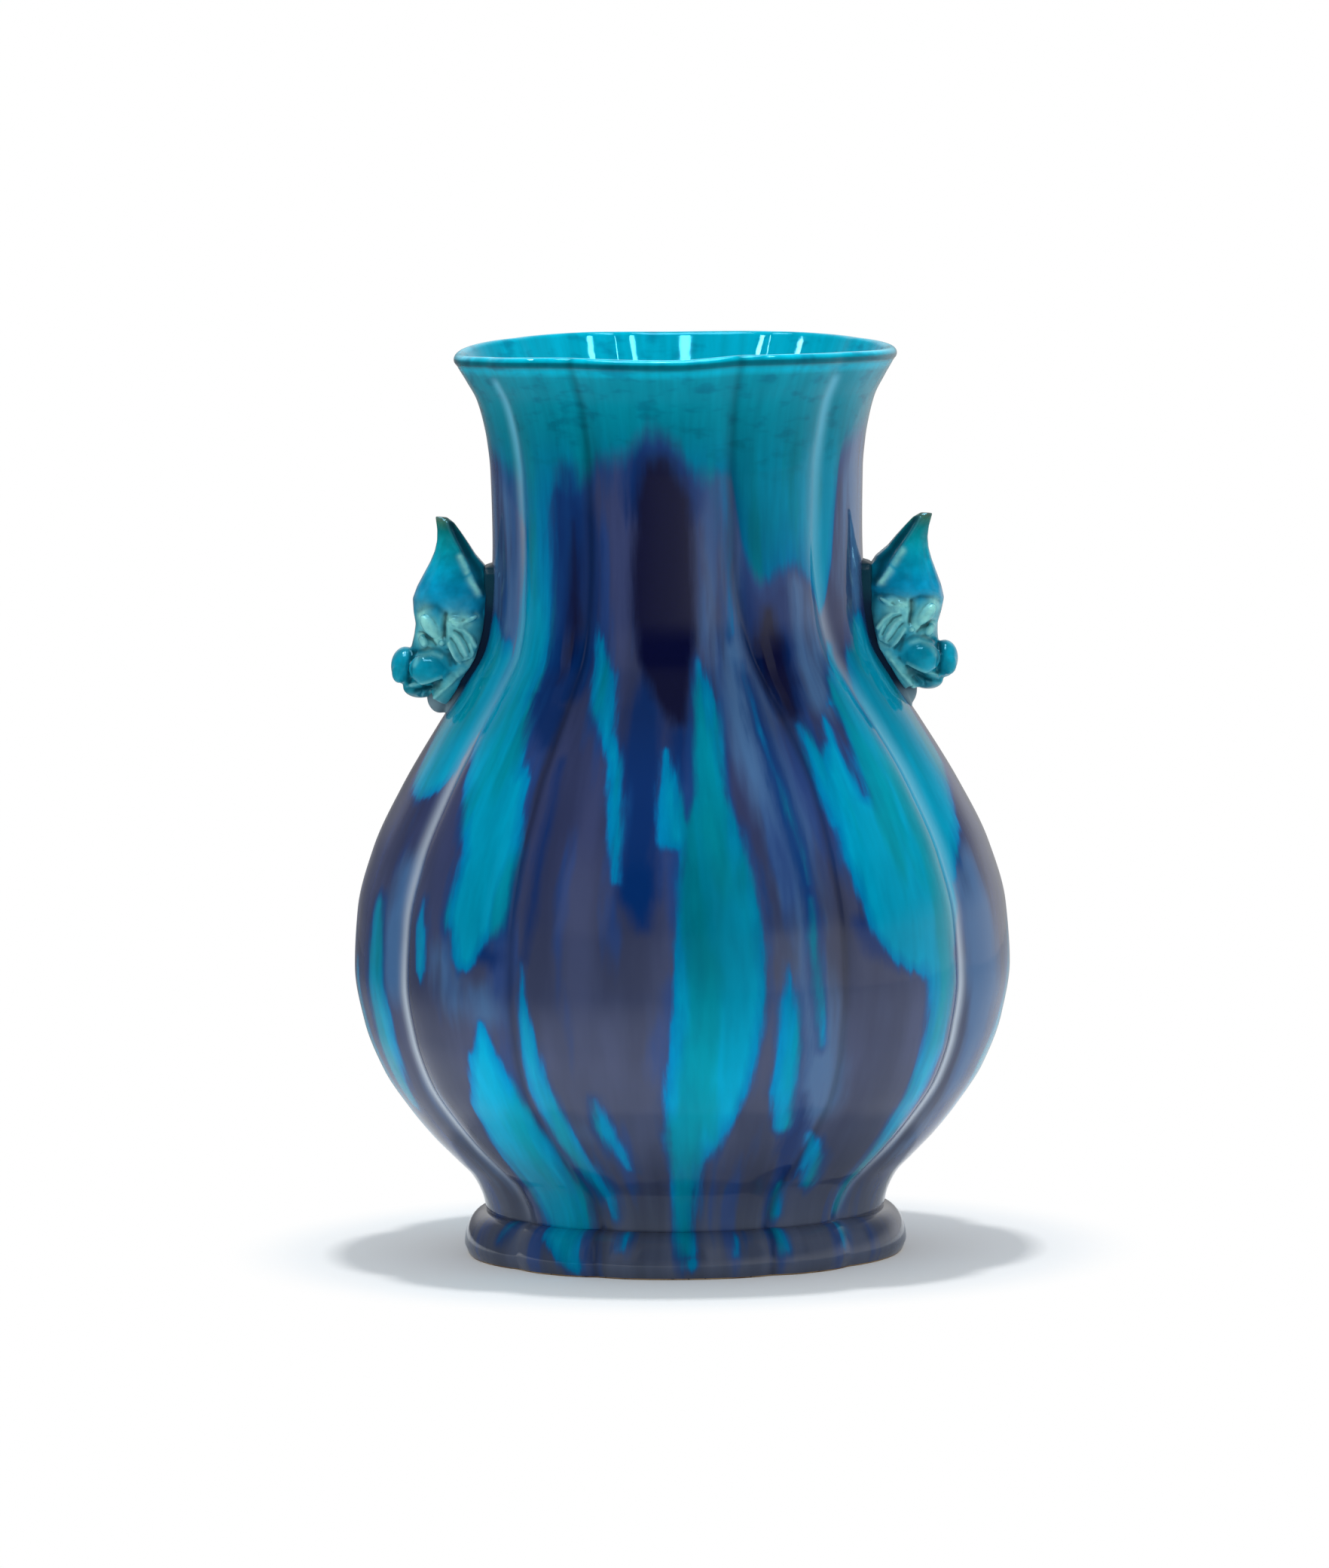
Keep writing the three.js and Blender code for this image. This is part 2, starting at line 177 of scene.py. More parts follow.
def grooveAngles(z):  # all eight grooves and the first one again, in degrees
    start, belly, leave, lip = outline["drift"]
    low, high = smoothStep(z, start, belly), smoothStep(z, leave, lip)
    front = [a * (1 - low) + b * (low - high) + c * high for a, b, c in outline["grooves"]]
    return front + [a + 180 for a in front] + [front[0] + 360]


noGroove = 1e3   # mm, stands for a distance that is too far to matter


def lobeDrop(angle, z, radius):  # depth under the crest, distance to the nearest groove, is that an outer one
    grooves = grooveAngles(z)
    turned = (angle - grooves[0]) % 360 + grooves[0]
    drop, nearest, outside = np.zeros_like(z), np.full_like(z, noGroove), np.zeros(len(z), bool)
    for lobe in range(8):
        here = (turned >= grooves[lobe]) & (turned <= grooves[lobe + 1])
        scale = np.radians(1) * radius   # mm along the wall for each degree
        half = (grooves[lobe + 1] - grooves[lobe]) / 2 * scale
        fromStart, fromEnd = (turned - grooves[lobe]) * scale, (grooves[lobe + 1] - turned) * scale
        away = np.minimum(fromStart, fromEnd)
        outer = np.where(fromStart < fromEnd, lobe % 4 in (0, 3), (lobe + 1) % 4 in (0, 3))
        softness = np.where(outer, *outline["grooveSoftness"])
        across = np.clip(1 - (np.hypot(away, softness) - softness) / half, 0, 1)
        full = outline["fullness"][lobe % 2]
        drop = np.where(here, grooveDepth(z) * across ** full, drop)
        nearest = np.where(here, away, nearest)
        outside = np.where(here, outer, outside)
    return drop, nearest, outside


def rimWave(angle):
    wave = outline["rimWave"]
    ends = [(wave[-1][0] - 360, wave[-1][1])] + wave + [(wave[0][0] + 360, wave[0][1])]
    return smoothCurve(ends)((angle + 90) % 360 - 90)


def evenLevels(start, end, row):  # heights spaced evenly along the wall
    z = np.linspace(start, end, 400)
    length = np.concatenate([[0], np.cumsum(np.hypot(np.diff(z), np.diff(crestRadius(z))))])
    count = max(2, round(length[-1] / row))
    return list(np.interp(np.linspace(0, length[-1], count + 1), length, z))


# runs of glaze: strokes of (degrees from the front, height in mm, half width in mm)

glazeRuns = {
    # turquoise reaches down from the mouth to this height
    "edge": [(-90, 262), (-76, 264), (-66, 258), (-57, 240), (-46, 236), (-40, 256), (-32, 258), (-24, 265),
             (-16, 267), (-8, 275), (0, 270), (6, 260), (12, 259), (17, 258), (21, 236), (27, 226), (36, 230),
             (46, 224), (52, 214), (57, 230), (62, 268), (78, 272), (90, 268)],
    "turquoise": [
        [(-49, 268, 9.5), (-50, 240, 10), (-52, 212, 11.5), (-52, 192, 12), (-49, 176, 13), (-43, 160, 13),
         (-39, 142, 11), (-40, 122, 11.5), (-41, 109, 6)],
        [(-25.5, 214, 1), (-24.5, 206, 3), (-22, 196, 5.2), (-20.5, 188, 5), (-17.5, 179, 3),
         (-14.5, 170, 2.8), (-13.5, 158, 3.4), (-12.5, 146, 3.2), (-12, 134, 1.8)],
        [(6, 201, 1.4), (7, 188, 4.6), (6.5, 174, 5), (6, 160, 5.4)],
        [(-3, 174, 1.6), (-2, 160, 4.4), (-1, 148, 5.4)],
        [(6, 162, 5), (6, 148, 10.5), (6.6, 122, 14.6), (6.6, 100, 15.6), (5.6, 80, 15), (3.8, 62, 13.6),
         (2, 50, 10), (0.4, 40, 6), (0, 27, 4.4), (0, 16, 3.6)],
        [(18.5, 107, 0.5), (18.5, 95, 3), (19, 80, 4.5), (18.5, 65, 5), (20, 53, 3.5)],
        [(24, 127, 0.5), (23.8, 115, 2.4), (24, 100, 1.8), (26, 80, 0.6)],
        [(54, 203, 2), (50, 190, 7), (47, 175, 14), (46, 160, 22), (47, 140, 26), (48, 124, 25),
         (50, 111, 14), (52, 100, 9), (52, 80, 7), (51, 60, 6.5), (50, 45, 5), (50, 34, 4), (49, 20, 3)],
        [(31, 180, 1), (33, 168, 4), (34, 150, 4)],
        [(-76, 208, 6), (-72, 195, 14), (-72, 180, 18), (-70, 166, 14), (-68, 158, 5)],
        [(-70, 120, 3), (-70, 105, 6), (-69, 85, 7), (-70, 70, 7), (-72, 54, 4)],
        [(-53, 124, 0.8), (-53, 115, 3.5), (-52.5, 103, 4), (-52, 98, 1.5)],
        [(-38, 86, 0.6), (-38.5, 72, 7), (-39, 55, 12), (-38, 40, 13), (-37, 25, 11), (-35.5, 16, 9)],
        [(-29.5, 106, 0.4), (-29.5, 95, 2.5), (-29, 80, 4.5), (-28.5, 65, 5), (-26, 50, 5), (-23.5, 38, 4),
         (-21.5, 28, 2.8), (-20.5, 20, 1)],
        [(-17, 62, 0.8), (-16, 52, 3), (-14, 43, 2.4), (-12.5, 37, 0.4)],
        [(28, 48, 2), (31, 40, 3.2), (33, 30, 2.4)],
        [(26, 30, 1), (27, 20, 1.8)],
        [(72, 206, 8), (72, 190, 18), (69, 172, 20), (64, 150, 12), (62, 136, 6), (61, 126, 1)],
        [(14.5, 264, 3), (15.5, 250, 2), (16, 236, 1.5), (16.5, 222, 1.2), (17, 210, 0.2)],
        [(19, 200, -0.4), (20, 180, 0.3), (22, 160, 0.5), (24, 132, 0.2)],
        [(-81, 100, 2), (-82, 70, 8), (-80, 50, 6), (-78, 36, 2)],
        [(84, 110, 2), (83, 84, 7), (80, 64, 8), (78, 44, 2)],
    ],
    "foot": [
        [(-36, 15, 8), (-33, 9, 6), (-30, 4, 3.5)],
        [(0, 15, 4), (0.8, 10, 3.4)],
        [(1.5, 5.4, 2.8)],
        [(-16, 14, 2), (-17, 10, 1.4)],
        [(14, 13, 1.6), (13, 8, 1.2)],
        [(27, 14, 1.6), (27.5, 9, 1.4)],
        [(47, 13, 2.4), (46, 8, 1.6)],
        [(-58, 14, 2), (-59, 9, 1)],
    ],
    "aubergine": [
        [(-35, 262, 1), (-35, 248, 4.5), (-35, 232, 6), (-34.5, 214, 7), (-36, 198, 5), (-39, 190, 2)],
        [(-40, 190, 3), (-36, 180, 4.4), (-33, 170, 3)],
        [(41, 184, 2.4), (41, 170, 1.4), (41.5, 158, 0)],
        [(-66, 255, 4), (-68, 230, 6), (-70, 214, 2)],
    ],
    "dark": [      # nearly black: thick glaze in part, and in part painted shade where the gloss shows only dark; the rest of the aubergine is a milky mauve
        [(-4.5, 264, 6), (-4.3, 252, 9), (-4.3, 225, 10.6), (-4, 205, 10), (-2, 194, 7), (0, 184, 3)],
        [(-34, 246, 0), (-34, 232, 1.6), (-34, 214, 2.2), (-34.5, 204, 1.4), (-36, 194, -1)],
        [(28.5, 216, 1.6), (28.5, 206, 5), (29.5, 194, 4.6), (30.5, 180, 1)],
    ],
    "navy": [      # blue tongues where the two glazes ran together
        [(-35, 268, 3), (-35, 255, 8), (-34, 238, 10), (-34, 214, 11), (-35, 196, 11)],
        [(-4, 276, 6), (-4, 266, 12), (-4, 256, 13)],
        [(27, 252, 1), (27.5, 240, 6), (28, 222, 9), (29, 205, 9), (30, 188, 6)],
        [(-9, 197, 2), (-9, 185, 6), (-9, 170, 7.5), (-8.5, 155, 7), (-8.5, 142, 6), (-8, 130, 6.5),
         (-7, 121, 3)],
        [(0.5, 189, 1), (0, 178, 4), (-0.5, 166, 4)],
        [(-46, 194, 3), (-40, 188, 7), (-36, 184, 6), (-34, 176, 3)],
        [(-28, 170, 0.5), (-27.5, 150, 1.6), (-28, 120, 1.8), (-29, 108, 0.5)],
        [(20, 196, 1.5), (20.5, 180, 3), (22, 160, 3.5), (23.5, 135, 3), (24.5, 115, 2)],
        [(33, 118, 2), (37, 112, 6), (42, 109, 7), (46, 112, 4)],
        [(23, 62, 1), (24, 52, 4), (24, 44, 5), (27, 36, 5)],
        [(-40, 112, 6), (-36, 108, 3)],
    ],
    "haze": [      # blue veils over the mauve
        [(12, 262, 4), (13.5, 245, 6), (14.5, 225, 7), (15, 205, 8), (16, 190, 9), (19, 170, 8),
         (21.5, 150, 8), (22.5, 125, 9), (23, 100, 10), (24, 80, 10), (26, 60, 10)],
        [(-46, 106, 5), (-44, 93, 6)],
        [(40, 222, 9), (42, 205, 10), (41, 190, 8)],
        [(76, 274, 9), (72, 250, 11), (68, 222, 10)],
        [(-58, 62, 6), (-57, 30, 6)],
        [(62, 96, 8), (62, 40, 6)],
        [(-38, 96, 3), (-37, 90, 4)],
        [(-27, 60, 4), (-24, 50, 5)],
        [(66, 130, 8), (68, 90, 12), (64, 60, 10)],
        [(-70, 252, 14), (-70, 220, 13), (-67, 205, 7)],
        [(-62, 130, 8), (-64, 100, 10)],
    ],
    # how bright the turquoise is: by height, and in places (degrees, height, half width, half height, gain)
    # near the lip the curve is painted highlight on the bead's top and on a line just under the bead, with
    # painted shade on the bead's underside between them
    "tone": [(0, 1.0), (15, 1.05), (32, 1.1), (50, 1.4), (70, 1.55), (90, 1.3), (112, 1.1), (150, 1.2),
             (185, 1.2), (205, 1.1), (235, 1.08), (255, 1.0), (272, 0.95), (286, 1.15), (293, 1.25),
             (295.2, 2.0), (296.2, 1.6), (296.9, 0.6), (298, 0.6), (298.8, 1.8), (300, 2.8)],
    "tonePlaces": [(5, 132, 15, 32, -0.4), (26, 240, 9, 22, -0.5), (-39, 60, 14, 24, 0.3),
                   (48, 150, 24, 30, 0.12), (20, 262, 4, 18, -0.25), (-26, 262, 4, 14, -0.3)],
    # the inside is lightened as painted light, against the shade down in the neck
    "paintedLightInside": 1.9,
    # painted highlight along the outer grooves, a pale line standing for the light they catch: strength by
    # height, and how wide it is in mm
    "paintedHighlight": [(0, 0), (15, 0.1), (30, 0.3), (42, 0.8), (60, 1.0), (90, 1.0), (115, 0.75), (150, 0.65),
              (180, 0.65), (196, 0.45), (225, 0.42), (255, 0.55), (280, 0.75), (291, 0.7), (294, 0),
              (300, 0)],
    "paintedHighlightWidth": [(0, 1.8), (60, 2.2), (110, 2.2), (135, 3.0), (195, 3.2), (215, 2.6), (300, 2.4)],
    "backPaintedHighlight": 0.4,
    # the inner grooves' dark line is pooled glaze and painted shade
    "poolAndShadeWidth": 1.6,         # dark line in the inner grooves, mm
    "backTurn": 180,          # the back carries the mirrored runs, those above the foot moved up a little
    "backRise": 5,
    "backEdgeRise": 4,
    "footReach": 20,
    "featherFrom": (205, 258),   # the runs' edges grow softer between these heights
    "outside": -60.0,         # mm, stands for the distance from strokes that are far away
    "within": 20.0,           # mm, the inside counts as this far within the turquoise
    "flowRadius": 85.0,       # the streaks are laid on a cylinder of this radius, so they run straight down
}


def aroundFrom(angle, start):  # degrees from start, between -180 and 180
    return (angle - start + 180) % 360 - 180


def strokeDistance(angle, z, radius, height, strokes):  # mm within the strokes, or less than 0 outside them
    best = np.full_like(z, glazeRuns["outside"])
    length = np.interp(z, *height)
    for stroke in strokes:
        for (a0, z0, w0), (a1, z1, w1) in zip(stroke, stroke[1:] or stroke):
            near = np.abs(aroundFrom(angle, (a0 + a1) / 2)) < 60
            scale = np.radians(1) * radius[near]
            start, end = np.interp((z0, z1), *height)
            px, py = aroundFrom(angle[near], a0) * scale, length[near] - start
            dx, dy = (a1 - a0) * scale, end - start
            t = np.clip((px * dx + py * dy) / np.maximum(dx * dx + dy * dy, 1e-6), 0, 1)
            inside = w0 + (w1 - w0) * t - np.hypot(px - t * dx, py - t * dy)
            best[near] = np.maximum(best[near], inside)
    return best


def mirroredRuns(strokes):
    turn, rise, foot = glazeRuns["backTurn"], glazeRuns["backRise"], glazeRuns["footReach"]
    return strokes + [[(turn - a, z + (rise if z > foot else 0), w) for a, z, w in stroke]
                      for stroke in strokes]


def toneAt(angle, z, radius):
    tone = smoothCurve(glazeRuns["tone"])(z)
    for turn in (0, 1):
        for a, level, wide, tall, gain in glazeRuns["tonePlaces"]:
            middle = glazeRuns["backTurn"] - a if turn else a
            across = aroundFrom(angle, middle) * np.radians(1) * radius
            tone = tone + gain * np.exp(-(across / wide) ** 2 - ((z - level) / tall) ** 2)
    return tone


def storeGlaze(mesh, angle, z, radius, inside, amount):  # runs outside, and turquoise alone inside
    height, out = meridian(), ~inside
    at = angle[out], z[out], radius[out]
    values = {"turquoise": (amount(*at, height), glazeRuns["within"]),
              "tone": (toneAt(*at), glazeRuns["paintedLightInside"])}
    for name in ("dark", "navy", "haze"):
        values[name] = (strokeDistance(*at, height, mirroredRuns(glazeRuns[name])), glazeRuns["outside"])
    for name, (runs, within) in values.items():
        whole = np.full_like(z, within)
        whole[out] = runs
        storeNumbers(mesh, name, whole)


def storeGrooves(mesh, angle, z, nearest, outer):  # painted highlight along outer grooves; pooled dark glaze and painted shade in inner ones
    facing = np.where(np.abs(angle) < 90, 1, glazeRuns["backPaintedHighlight"])
    strength, width = smoothCurve(glazeRuns["paintedHighlight"])(z), smoothCurve(glazeRuns["paintedHighlightWidth"])(z)
    storeNumbers(mesh, "paintedHighlight", facing * strength * np.exp(-(nearest / width) ** 2) * outer)
    storeNumbers(mesh, "poolAndShade", np.exp(-(nearest / glazeRuns["poolAndShadeWidth"]) ** 2) * ~outer)


def turquoiseAmount(angle, z, radius, height):
    edge, rise = glazeRuns["edge"], glazeRuns["backEdgeRise"]
    back = [(180 - a, level + rise) for a, level in reversed(edge)][1:-1]
    around = edge + back + [(edge[0][0] + 360, edge[0][1])]
    fromTop = z - smoothCurve(around)((angle + 90) % 360 - 90)
    runs, cuts = (strokeDistance(angle, z, radius, height, mirroredRuns(glazeRuns[name]))
                  for name in ("turquoise", "aubergine"))
    return np.minimum(np.maximum(fromTop, runs), -cuts)


# the wall of the vase, spun from its outline and cut into its sections

def spinOutline(points, closed):
    bm = bmesh.new()
    verts = [bm.verts.new((r * mm, 0, z * mm)) for r, z in points]
    ends = verts[1:] + verts[:1] if closed else verts[1:]
    edges = [bm.edges.new(pair) for pair in zip(verts, ends)]
    bmesh.ops.spin(bm, geom=verts + edges, cent=(0, 0, 0), axis=(0, 0, 1), dvec=(0, 0, 0),
                   angle=2 * math.pi, steps=outline["columns"], use_merge=True, use_duplicate=False)
    bmesh.ops.recalc_face_normals(bm, faces=bm.faces[:])
    mesh = bpy.data.meshes.new("spun")
    bm.to_mesh(mesh)
    bm.free()
    return mesh


def polar(points):
    return np.degrees(np.arctan2(points[:, 0], -points[:, 1])), np.hypot(points[:, 0], points[:, 1])


def fromPolar(angle, radius, z):
    turn = np.radians(angle)
    return np.stack([radius * np.sin(turn), -radius * np.cos(turn), z], 1)


def meridian():  # heights, and the length along the outside of the wall up to each
    z = np.linspace(0, 300, 1201)
    return z, np.concatenate([[0], np.cumsum(np.hypot(np.diff(z), np.diff(crestAt(z))))])


def makeWall():
    seams, (outerRow, innerRow) = outline["seams"], outline["rows"]
    up, down = [wallBottom], [wallTop]
    for low, high in zip(seams, seams[1:]):
        up += evenLevels(low, high, outerRow)[1:]
    for high, low in zip(seams[::-1], seams[-2::-1]):
        down += evenLevels(low, high, innerRow)[::-1][1:]
    middle, level, bead, start, end = outline["bead"]
    points = [(float(crestRadius(z)), z) for z in up] + outline["underBead"]
    for turn in np.radians(np.linspace(start, end, outline["beadSteps"])):
        points.append((middle + bead * math.cos(turn), level + bead * math.sin(turn)))
    points += [(float(crestRadius(z) - wallDepth(np.float64(z))), z) for z in down]
    mesh = spinOutline(points, False)
    co = positions(mesh) / mm
    angle, radius = polar(co)
    z = co[:, 2].copy()
    halfway = crestAt(z) - wallDepth(np.clip(z, wallBottom, wallTop)) / 2
    inside = (radius < halfway) | ((z > level - 1) & (radius < middle))
    drop, nearest, outer = lobeDrop(angle, z, radius)
    lifted = z + rimWave(angle) * smoothStep(z, *outline["rimFlex"])
    mesh.vertices.foreach_set("co", (fromPolar(angle, radius - drop, lifted) * mm).ravel())
    mesh.update()
    storeGlaze(mesh, angle, z, radius, inside, turquoiseAmount)
    storeNumbers(mesh, "feather", smoothStep(z, *glazeRuns["featherFrom"]))
    storeNumbers(mesh, "level", z)
    storeGrooves(mesh, angle, z, np.where(inside, noGroove, nearest), outer)
    length = np.interp(z, *meridian())
    storeVectors(mesh, "flow", fromPolar(angle, np.full_like(z, glazeRuns["flowRadius"]), length))
    storeVectors(mesh, "wallNormal", pointNormals(mesh))
    return mesh


def cutSection(whole, name, low, high):  # one section of the wall, closed by a flat ring at each end
    bm = bmesh.new()
    bm.from_mesh(whole)
    level = bm.verts.layers.float["level"]
    cap = bm.faces.layers.int.new("cap")
    spare = [v for v in bm.verts if not low - 0.01 < v[level] < high + 0.01]
    bmesh.ops.delete(bm, geom=spare, context="VERTS")
    for end in (low, high):
        rim = [e for e in bm.edges if e.is_boundary and abs(e.verts[0][level] - end) < 0.02]
        if rim:
            for edge in rim:
                edge.smooth = False
            for face in bmesh.ops.bridge_loops(bm, edges=rim)["faces"]:
                face[cap] = 1
    bmesh.ops.recalc_face_normals(bm, faces=bm.faces[:])
    mesh = bpy.data.meshes.new(name)
    bm.to_mesh(mesh)
    bm.free()
    mesh.polygons.foreach_set("use_smooth", [True] * len(mesh.polygons))
    keepWallNormals(mesh)
    return mesh


def keepWallNormals(mesh):  # the glaze runs on over the seams, so the shading does too
    normals = np.empty(len(mesh.vertices) * 3, np.float32)
    mesh.attributes["wallNormal"].data.foreach_get("vector", normals)
    corner = np.empty(len(mesh.loops), np.int32)
    mesh.loops.foreach_get("vertex_index", corner)
    normals = normals.reshape(-1, 3)[corner]
    total, cap = np.empty(len(mesh.polygons), np.int32), np.empty(len(mesh.polygons), np.int32)
    mesh.polygons.foreach_get("loop_total", total)
    mesh.attributes["cap"].data.foreach_get("value", cap)
    flat = np.empty(len(mesh.polygons) * 3, np.float32)
    mesh.polygons.foreach_get("normal", flat)
    onCap = np.repeat(cap, total) == 1
    normals[onCap] = np.repeat(flat.reshape(-1, 3), total, axis=0)[onCap]
    for name in ("wallNormal", "cap", "level"):
        mesh.attributes.remove(mesh.attributes[name])
    mesh.normals_split_custom_set(normals)


# glaze materials, with the settings that many of their nodes share

softStep = {"interpolation_type": "SMOOTHSTEP"}
colourMix, numberMix = {"data_type": "RGBA"}, {"data_type": "FLOAT"}
multiply, multiplyAdd = {"operation": "MULTIPLY"}, {"operation": "MULTIPLY_ADD"}
divide, subtract = {"operation": "DIVIDE"}, {"operation": "SUBTRACT"}
scaleColour = {"operation": "SCALE"}

splashedGlaze = {
    # milky mauve from the foot up to the mouth, lighter low down as painted reflection of the floor, with a
    # darker band a little above the foot as painted reflection of the shadow on the floor; and the glazes
    # that lie over it
    "mauveAndFloorReflection": [(0.0, "#4C546A"), (0.05, "#4A5268"), (0.12, "#363E5C"), (0.16, "#424A68"), (0.25, "#464E70"),
              (0.34, "#404868"), (0.5, "#343C62"), (0.72, "#38426C"), (1.0, "#38426C")],
    "mauveLift": (0.86, 1.3),    # cloudy darker and lighter patches
    "dark": "#0B0F38",
    "navy": "#04306E",
    "haze": "#4C74A4",
    "veil": "#1C4A92",
    "veilAmount": 0.6,
    "fringe": "#0C4484",
    "fringeAmount": (0.2, 0.85),
    # turquoise from the edge of a run to its middle, and what it turns to in patches and near the mouth
    "turquoise": [(0.0, "#0460A0"), (0.1, "#007CAE"), (0.35, "#0095B8"), (1.0, "#0094B4")],
    "turquoiseDepth": 12.0,      # mm from the edge to the middle's colour
    "green": "#008894",
    "greenAmount": 0.7,
    "teal": "#008CA2",
    "tealFrom": (0.25, 0.285),   # metres above the ground
    "fleck": "#007890",
    # colours of the painted highlight along the outer grooves, over mauve and over turquoise
    "paintedHighlight": "#C4D0E0",
    "paintedHighlightTurquoise": "#78D0EC",
    "clearTint": "#50C8F0",
    "grooveShade": 0.4,
    "streakWidth": 3.0,          # mm
    "streakTone": (0.94, 1.06),
    "cloudWidth": 12.0,
    "cloudTone": (0.88, 1.12),
    "stretch": 0.16,             # streaks and clouds are drawn out down the wall
    "fleckWidth": 5.0,
    "fleckShape": (0.45, 0.45, 1.3),
    # mm by which an edge wanders with the streaks and with the clouds
    "wander": {"turquoise": (4.6, 4.0), "haze": (5, 12), "navy": (5, 4), "dark": (4, 3)},
    # mm from outside an edge to inside it, over which a glaze comes in
    "fade": {"haze": (-5, 7), "navy": (-3.5, 3.5), "dark": (-3.0, 3.0)},
    "fringeFade": (-2.4, 0.2),
    "turquoiseFade": (-0.8, 1.3),
    "feather": 4.0,              # how much wider a feathered edge is
    "roughness": 0.06,
    "ior": 1.5,
}


def makeSplashedGlaze():  # alkaline glaze, run down in the kiln: deep, wet gloss with soft-edged drips
    look = splashedGlaze
    material, tree = newMaterial("splashed_turquoise_and_aubergine_glaze")
    field = {name: addNode(tree, "Attribute", {"attribute_name": name}).outputs["Fac"]
             for name in ("turquoise", "dark", "navy", "haze", "tone", "feather", "poolAndShade", "paintedHighlight")}
    flow = addNode(tree, "Attribute", {"attribute_name": "flow"}).outputs["Vector"]
    place = addNode(tree, "TexCoord").outputs["Object"]
    height = addNode(tree, "SeparateXYZ", None, {"Vector": place}).outputs["Z"]
    drawn = addNode(tree, "Mapping", None, {"Vector": flow, "Scale": (1, 1, look["stretch"])})
    streaks = addNode(tree, "TexNoise", None,
                      {"Vector": drawn, "Scale": 1 / look["streakWidth"], "Detail": 4.0, "Roughness": 0.6})
    clouds = addNode(tree, "TexNoise", None,
                     {"Vector": drawn, "Scale": 1 / look["cloudWidth"], "Detail": 3.0})
    spots = addNode(tree, "SeparateColor", None, {"Color": clouds.outputs["Color"]})
    fine = addNode(tree, "Math", subtract, {0: streaks, 1: 0.5})
    coarse = addNode(tree, "Math", subtract, {0: clouds, 1: 0.5})
    edge = {}
    for name, (byStreaks, byClouds) in look["wander"].items():
        wavered = addNode(tree, "Math", multiplyAdd, {0: fine, 1: byStreaks, 2: field[name]})
        edge[name] = addNode(tree, "Math", multiplyAdd, {0: coarse, 1: byClouds, 2: wavered})
    blur = addNode(tree, "MapRange", softStep,
                   {"Value": clouds.outputs["Color"], "From Min": 0.42, "From Max": 0.6, "To Max": 0.3})
    feathered = addNode(tree, "Math", {"operation": "ADD"}, {0: blur, 1: field["feather"]})
    width = addNode(tree, "Math", multiplyAdd, {0: feathered, 1: look["feather"], 2: 1.0})
    run = addNode(tree, "Math", divide, {0: edge["turquoise"], 1: width})
    start, end = look["turquoiseFade"]
    clear = addNode(tree, "MapRange", softStep, {"Value": run, "From Min": start, "From Max": end})
    dark = darkGlazes(tree, height, clouds, spots, edge, run)
    bright = clearGlaze(tree, height, flow, clouds, streaks, spots, run)
    toned = addNode(tree, "VectorMath", scaleColour, {0: bright, "Scale": field["tone"]})
    colour = addNode(tree, "Mix", colourMix, {0: clear, 6: dark, 7: toned}).outputs[2]
    # darker along the inner grooves: pooled glaze and painted shade
    groove = addNode(tree, "Math", multiplyAdd, {0: field["poolAndShade"], 1: -look["grooveShade"], 2: 1.0})
    shaded = addNode(tree, "VectorMath", scaleColour, {0: colour, "Scale": groove})
    # pale line of painted highlight along the outer grooves
    glint = addNode(tree, "Mix", colourMix, {0: clear, 6: look["paintedHighlight"], 7: look["paintedHighlightTurquoise"]})
    lined = addNode(tree, "Mix", colourMix, {0: field["paintedHighlight"], 6: shaded, 7: glint.outputs[2]})
    tint = addNode(tree, "Mix", colourMix, {0: clear, 6: "#FFFFFF", 7: look["clearTint"]})
    shader = glazeShader(tree, look, lined.outputs[2])
    tree.links.new(tint.outputs[2], shader.inputs["Specular Tint"])
    return material


def darkGlazes(tree, height, clouds, spots, edge, run):  # mauve under veils of blue, navy and near-black
    look = splashedGlaze
    # mauve by height, with painted reflection of the floor and of its shadow low down
    share = addNode(tree, "MapRange", None, {"Value": height, "From Max": 0.3})
    mauveAndFloorReflection = addNode(tree, "ValToRGB", None, {"Fac": share})
    setRamp(mauveAndFloorReflection, look["mauveAndFloorReflection"])
    low, high = look["mauveLift"]
    patches = addNode(tree, "MapRange", softStep,
                      {"Value": clouds, "From Min": 0.32, "From Max": 0.7, "To Min": low, "To Max": high})
    amount = {"veil": addNode(tree, "MapRange", softStep,
                              {"Value": spots.outputs["Blue"], "From Min": 0.52, "From Max": 0.66,
                               "To Max": look["veilAmount"]})}
    for name, (start, end) in look["fade"].items():
        amount[name] = addNode(tree, "MapRange", softStep,
                               {"Value": edge[name], "From Min": start, "From Max": end})
    broken = addNode(tree, "MapRange", softStep, {"Value": clouds, "From Min": 0.3, "From Max": 0.6})
    amount["haze"] = addNode(tree, "Math", multiply, {0: amount["haze"], 1: broken})
    start, end = look["fringeFade"]
    fringe = addNode(tree, "MapRange", softStep, {"Value": run, "From Min": start, "From Max": end})
    low, high = look["fringeAmount"]
    patchy = addNode(tree, "MapRange", softStep, {"Value": spots.outputs["Green"], "From Min": 0.42,
                     "From Max": 0.58, "To Min": low, "To Max": high})
    amount["fringe"] = addNode(tree, "Math", multiply, {0: fringe, 1: patchy})
    colour = addNode(tree, "VectorMath", scaleColour, {0: mauveAndFloorReflection, "Scale": patches})
    for name, share in amount.items():
        colour = addNode(tree, "Mix", colourMix, {0: share, 6: colour, 7: look[name]}).outputs[2]
    return colour


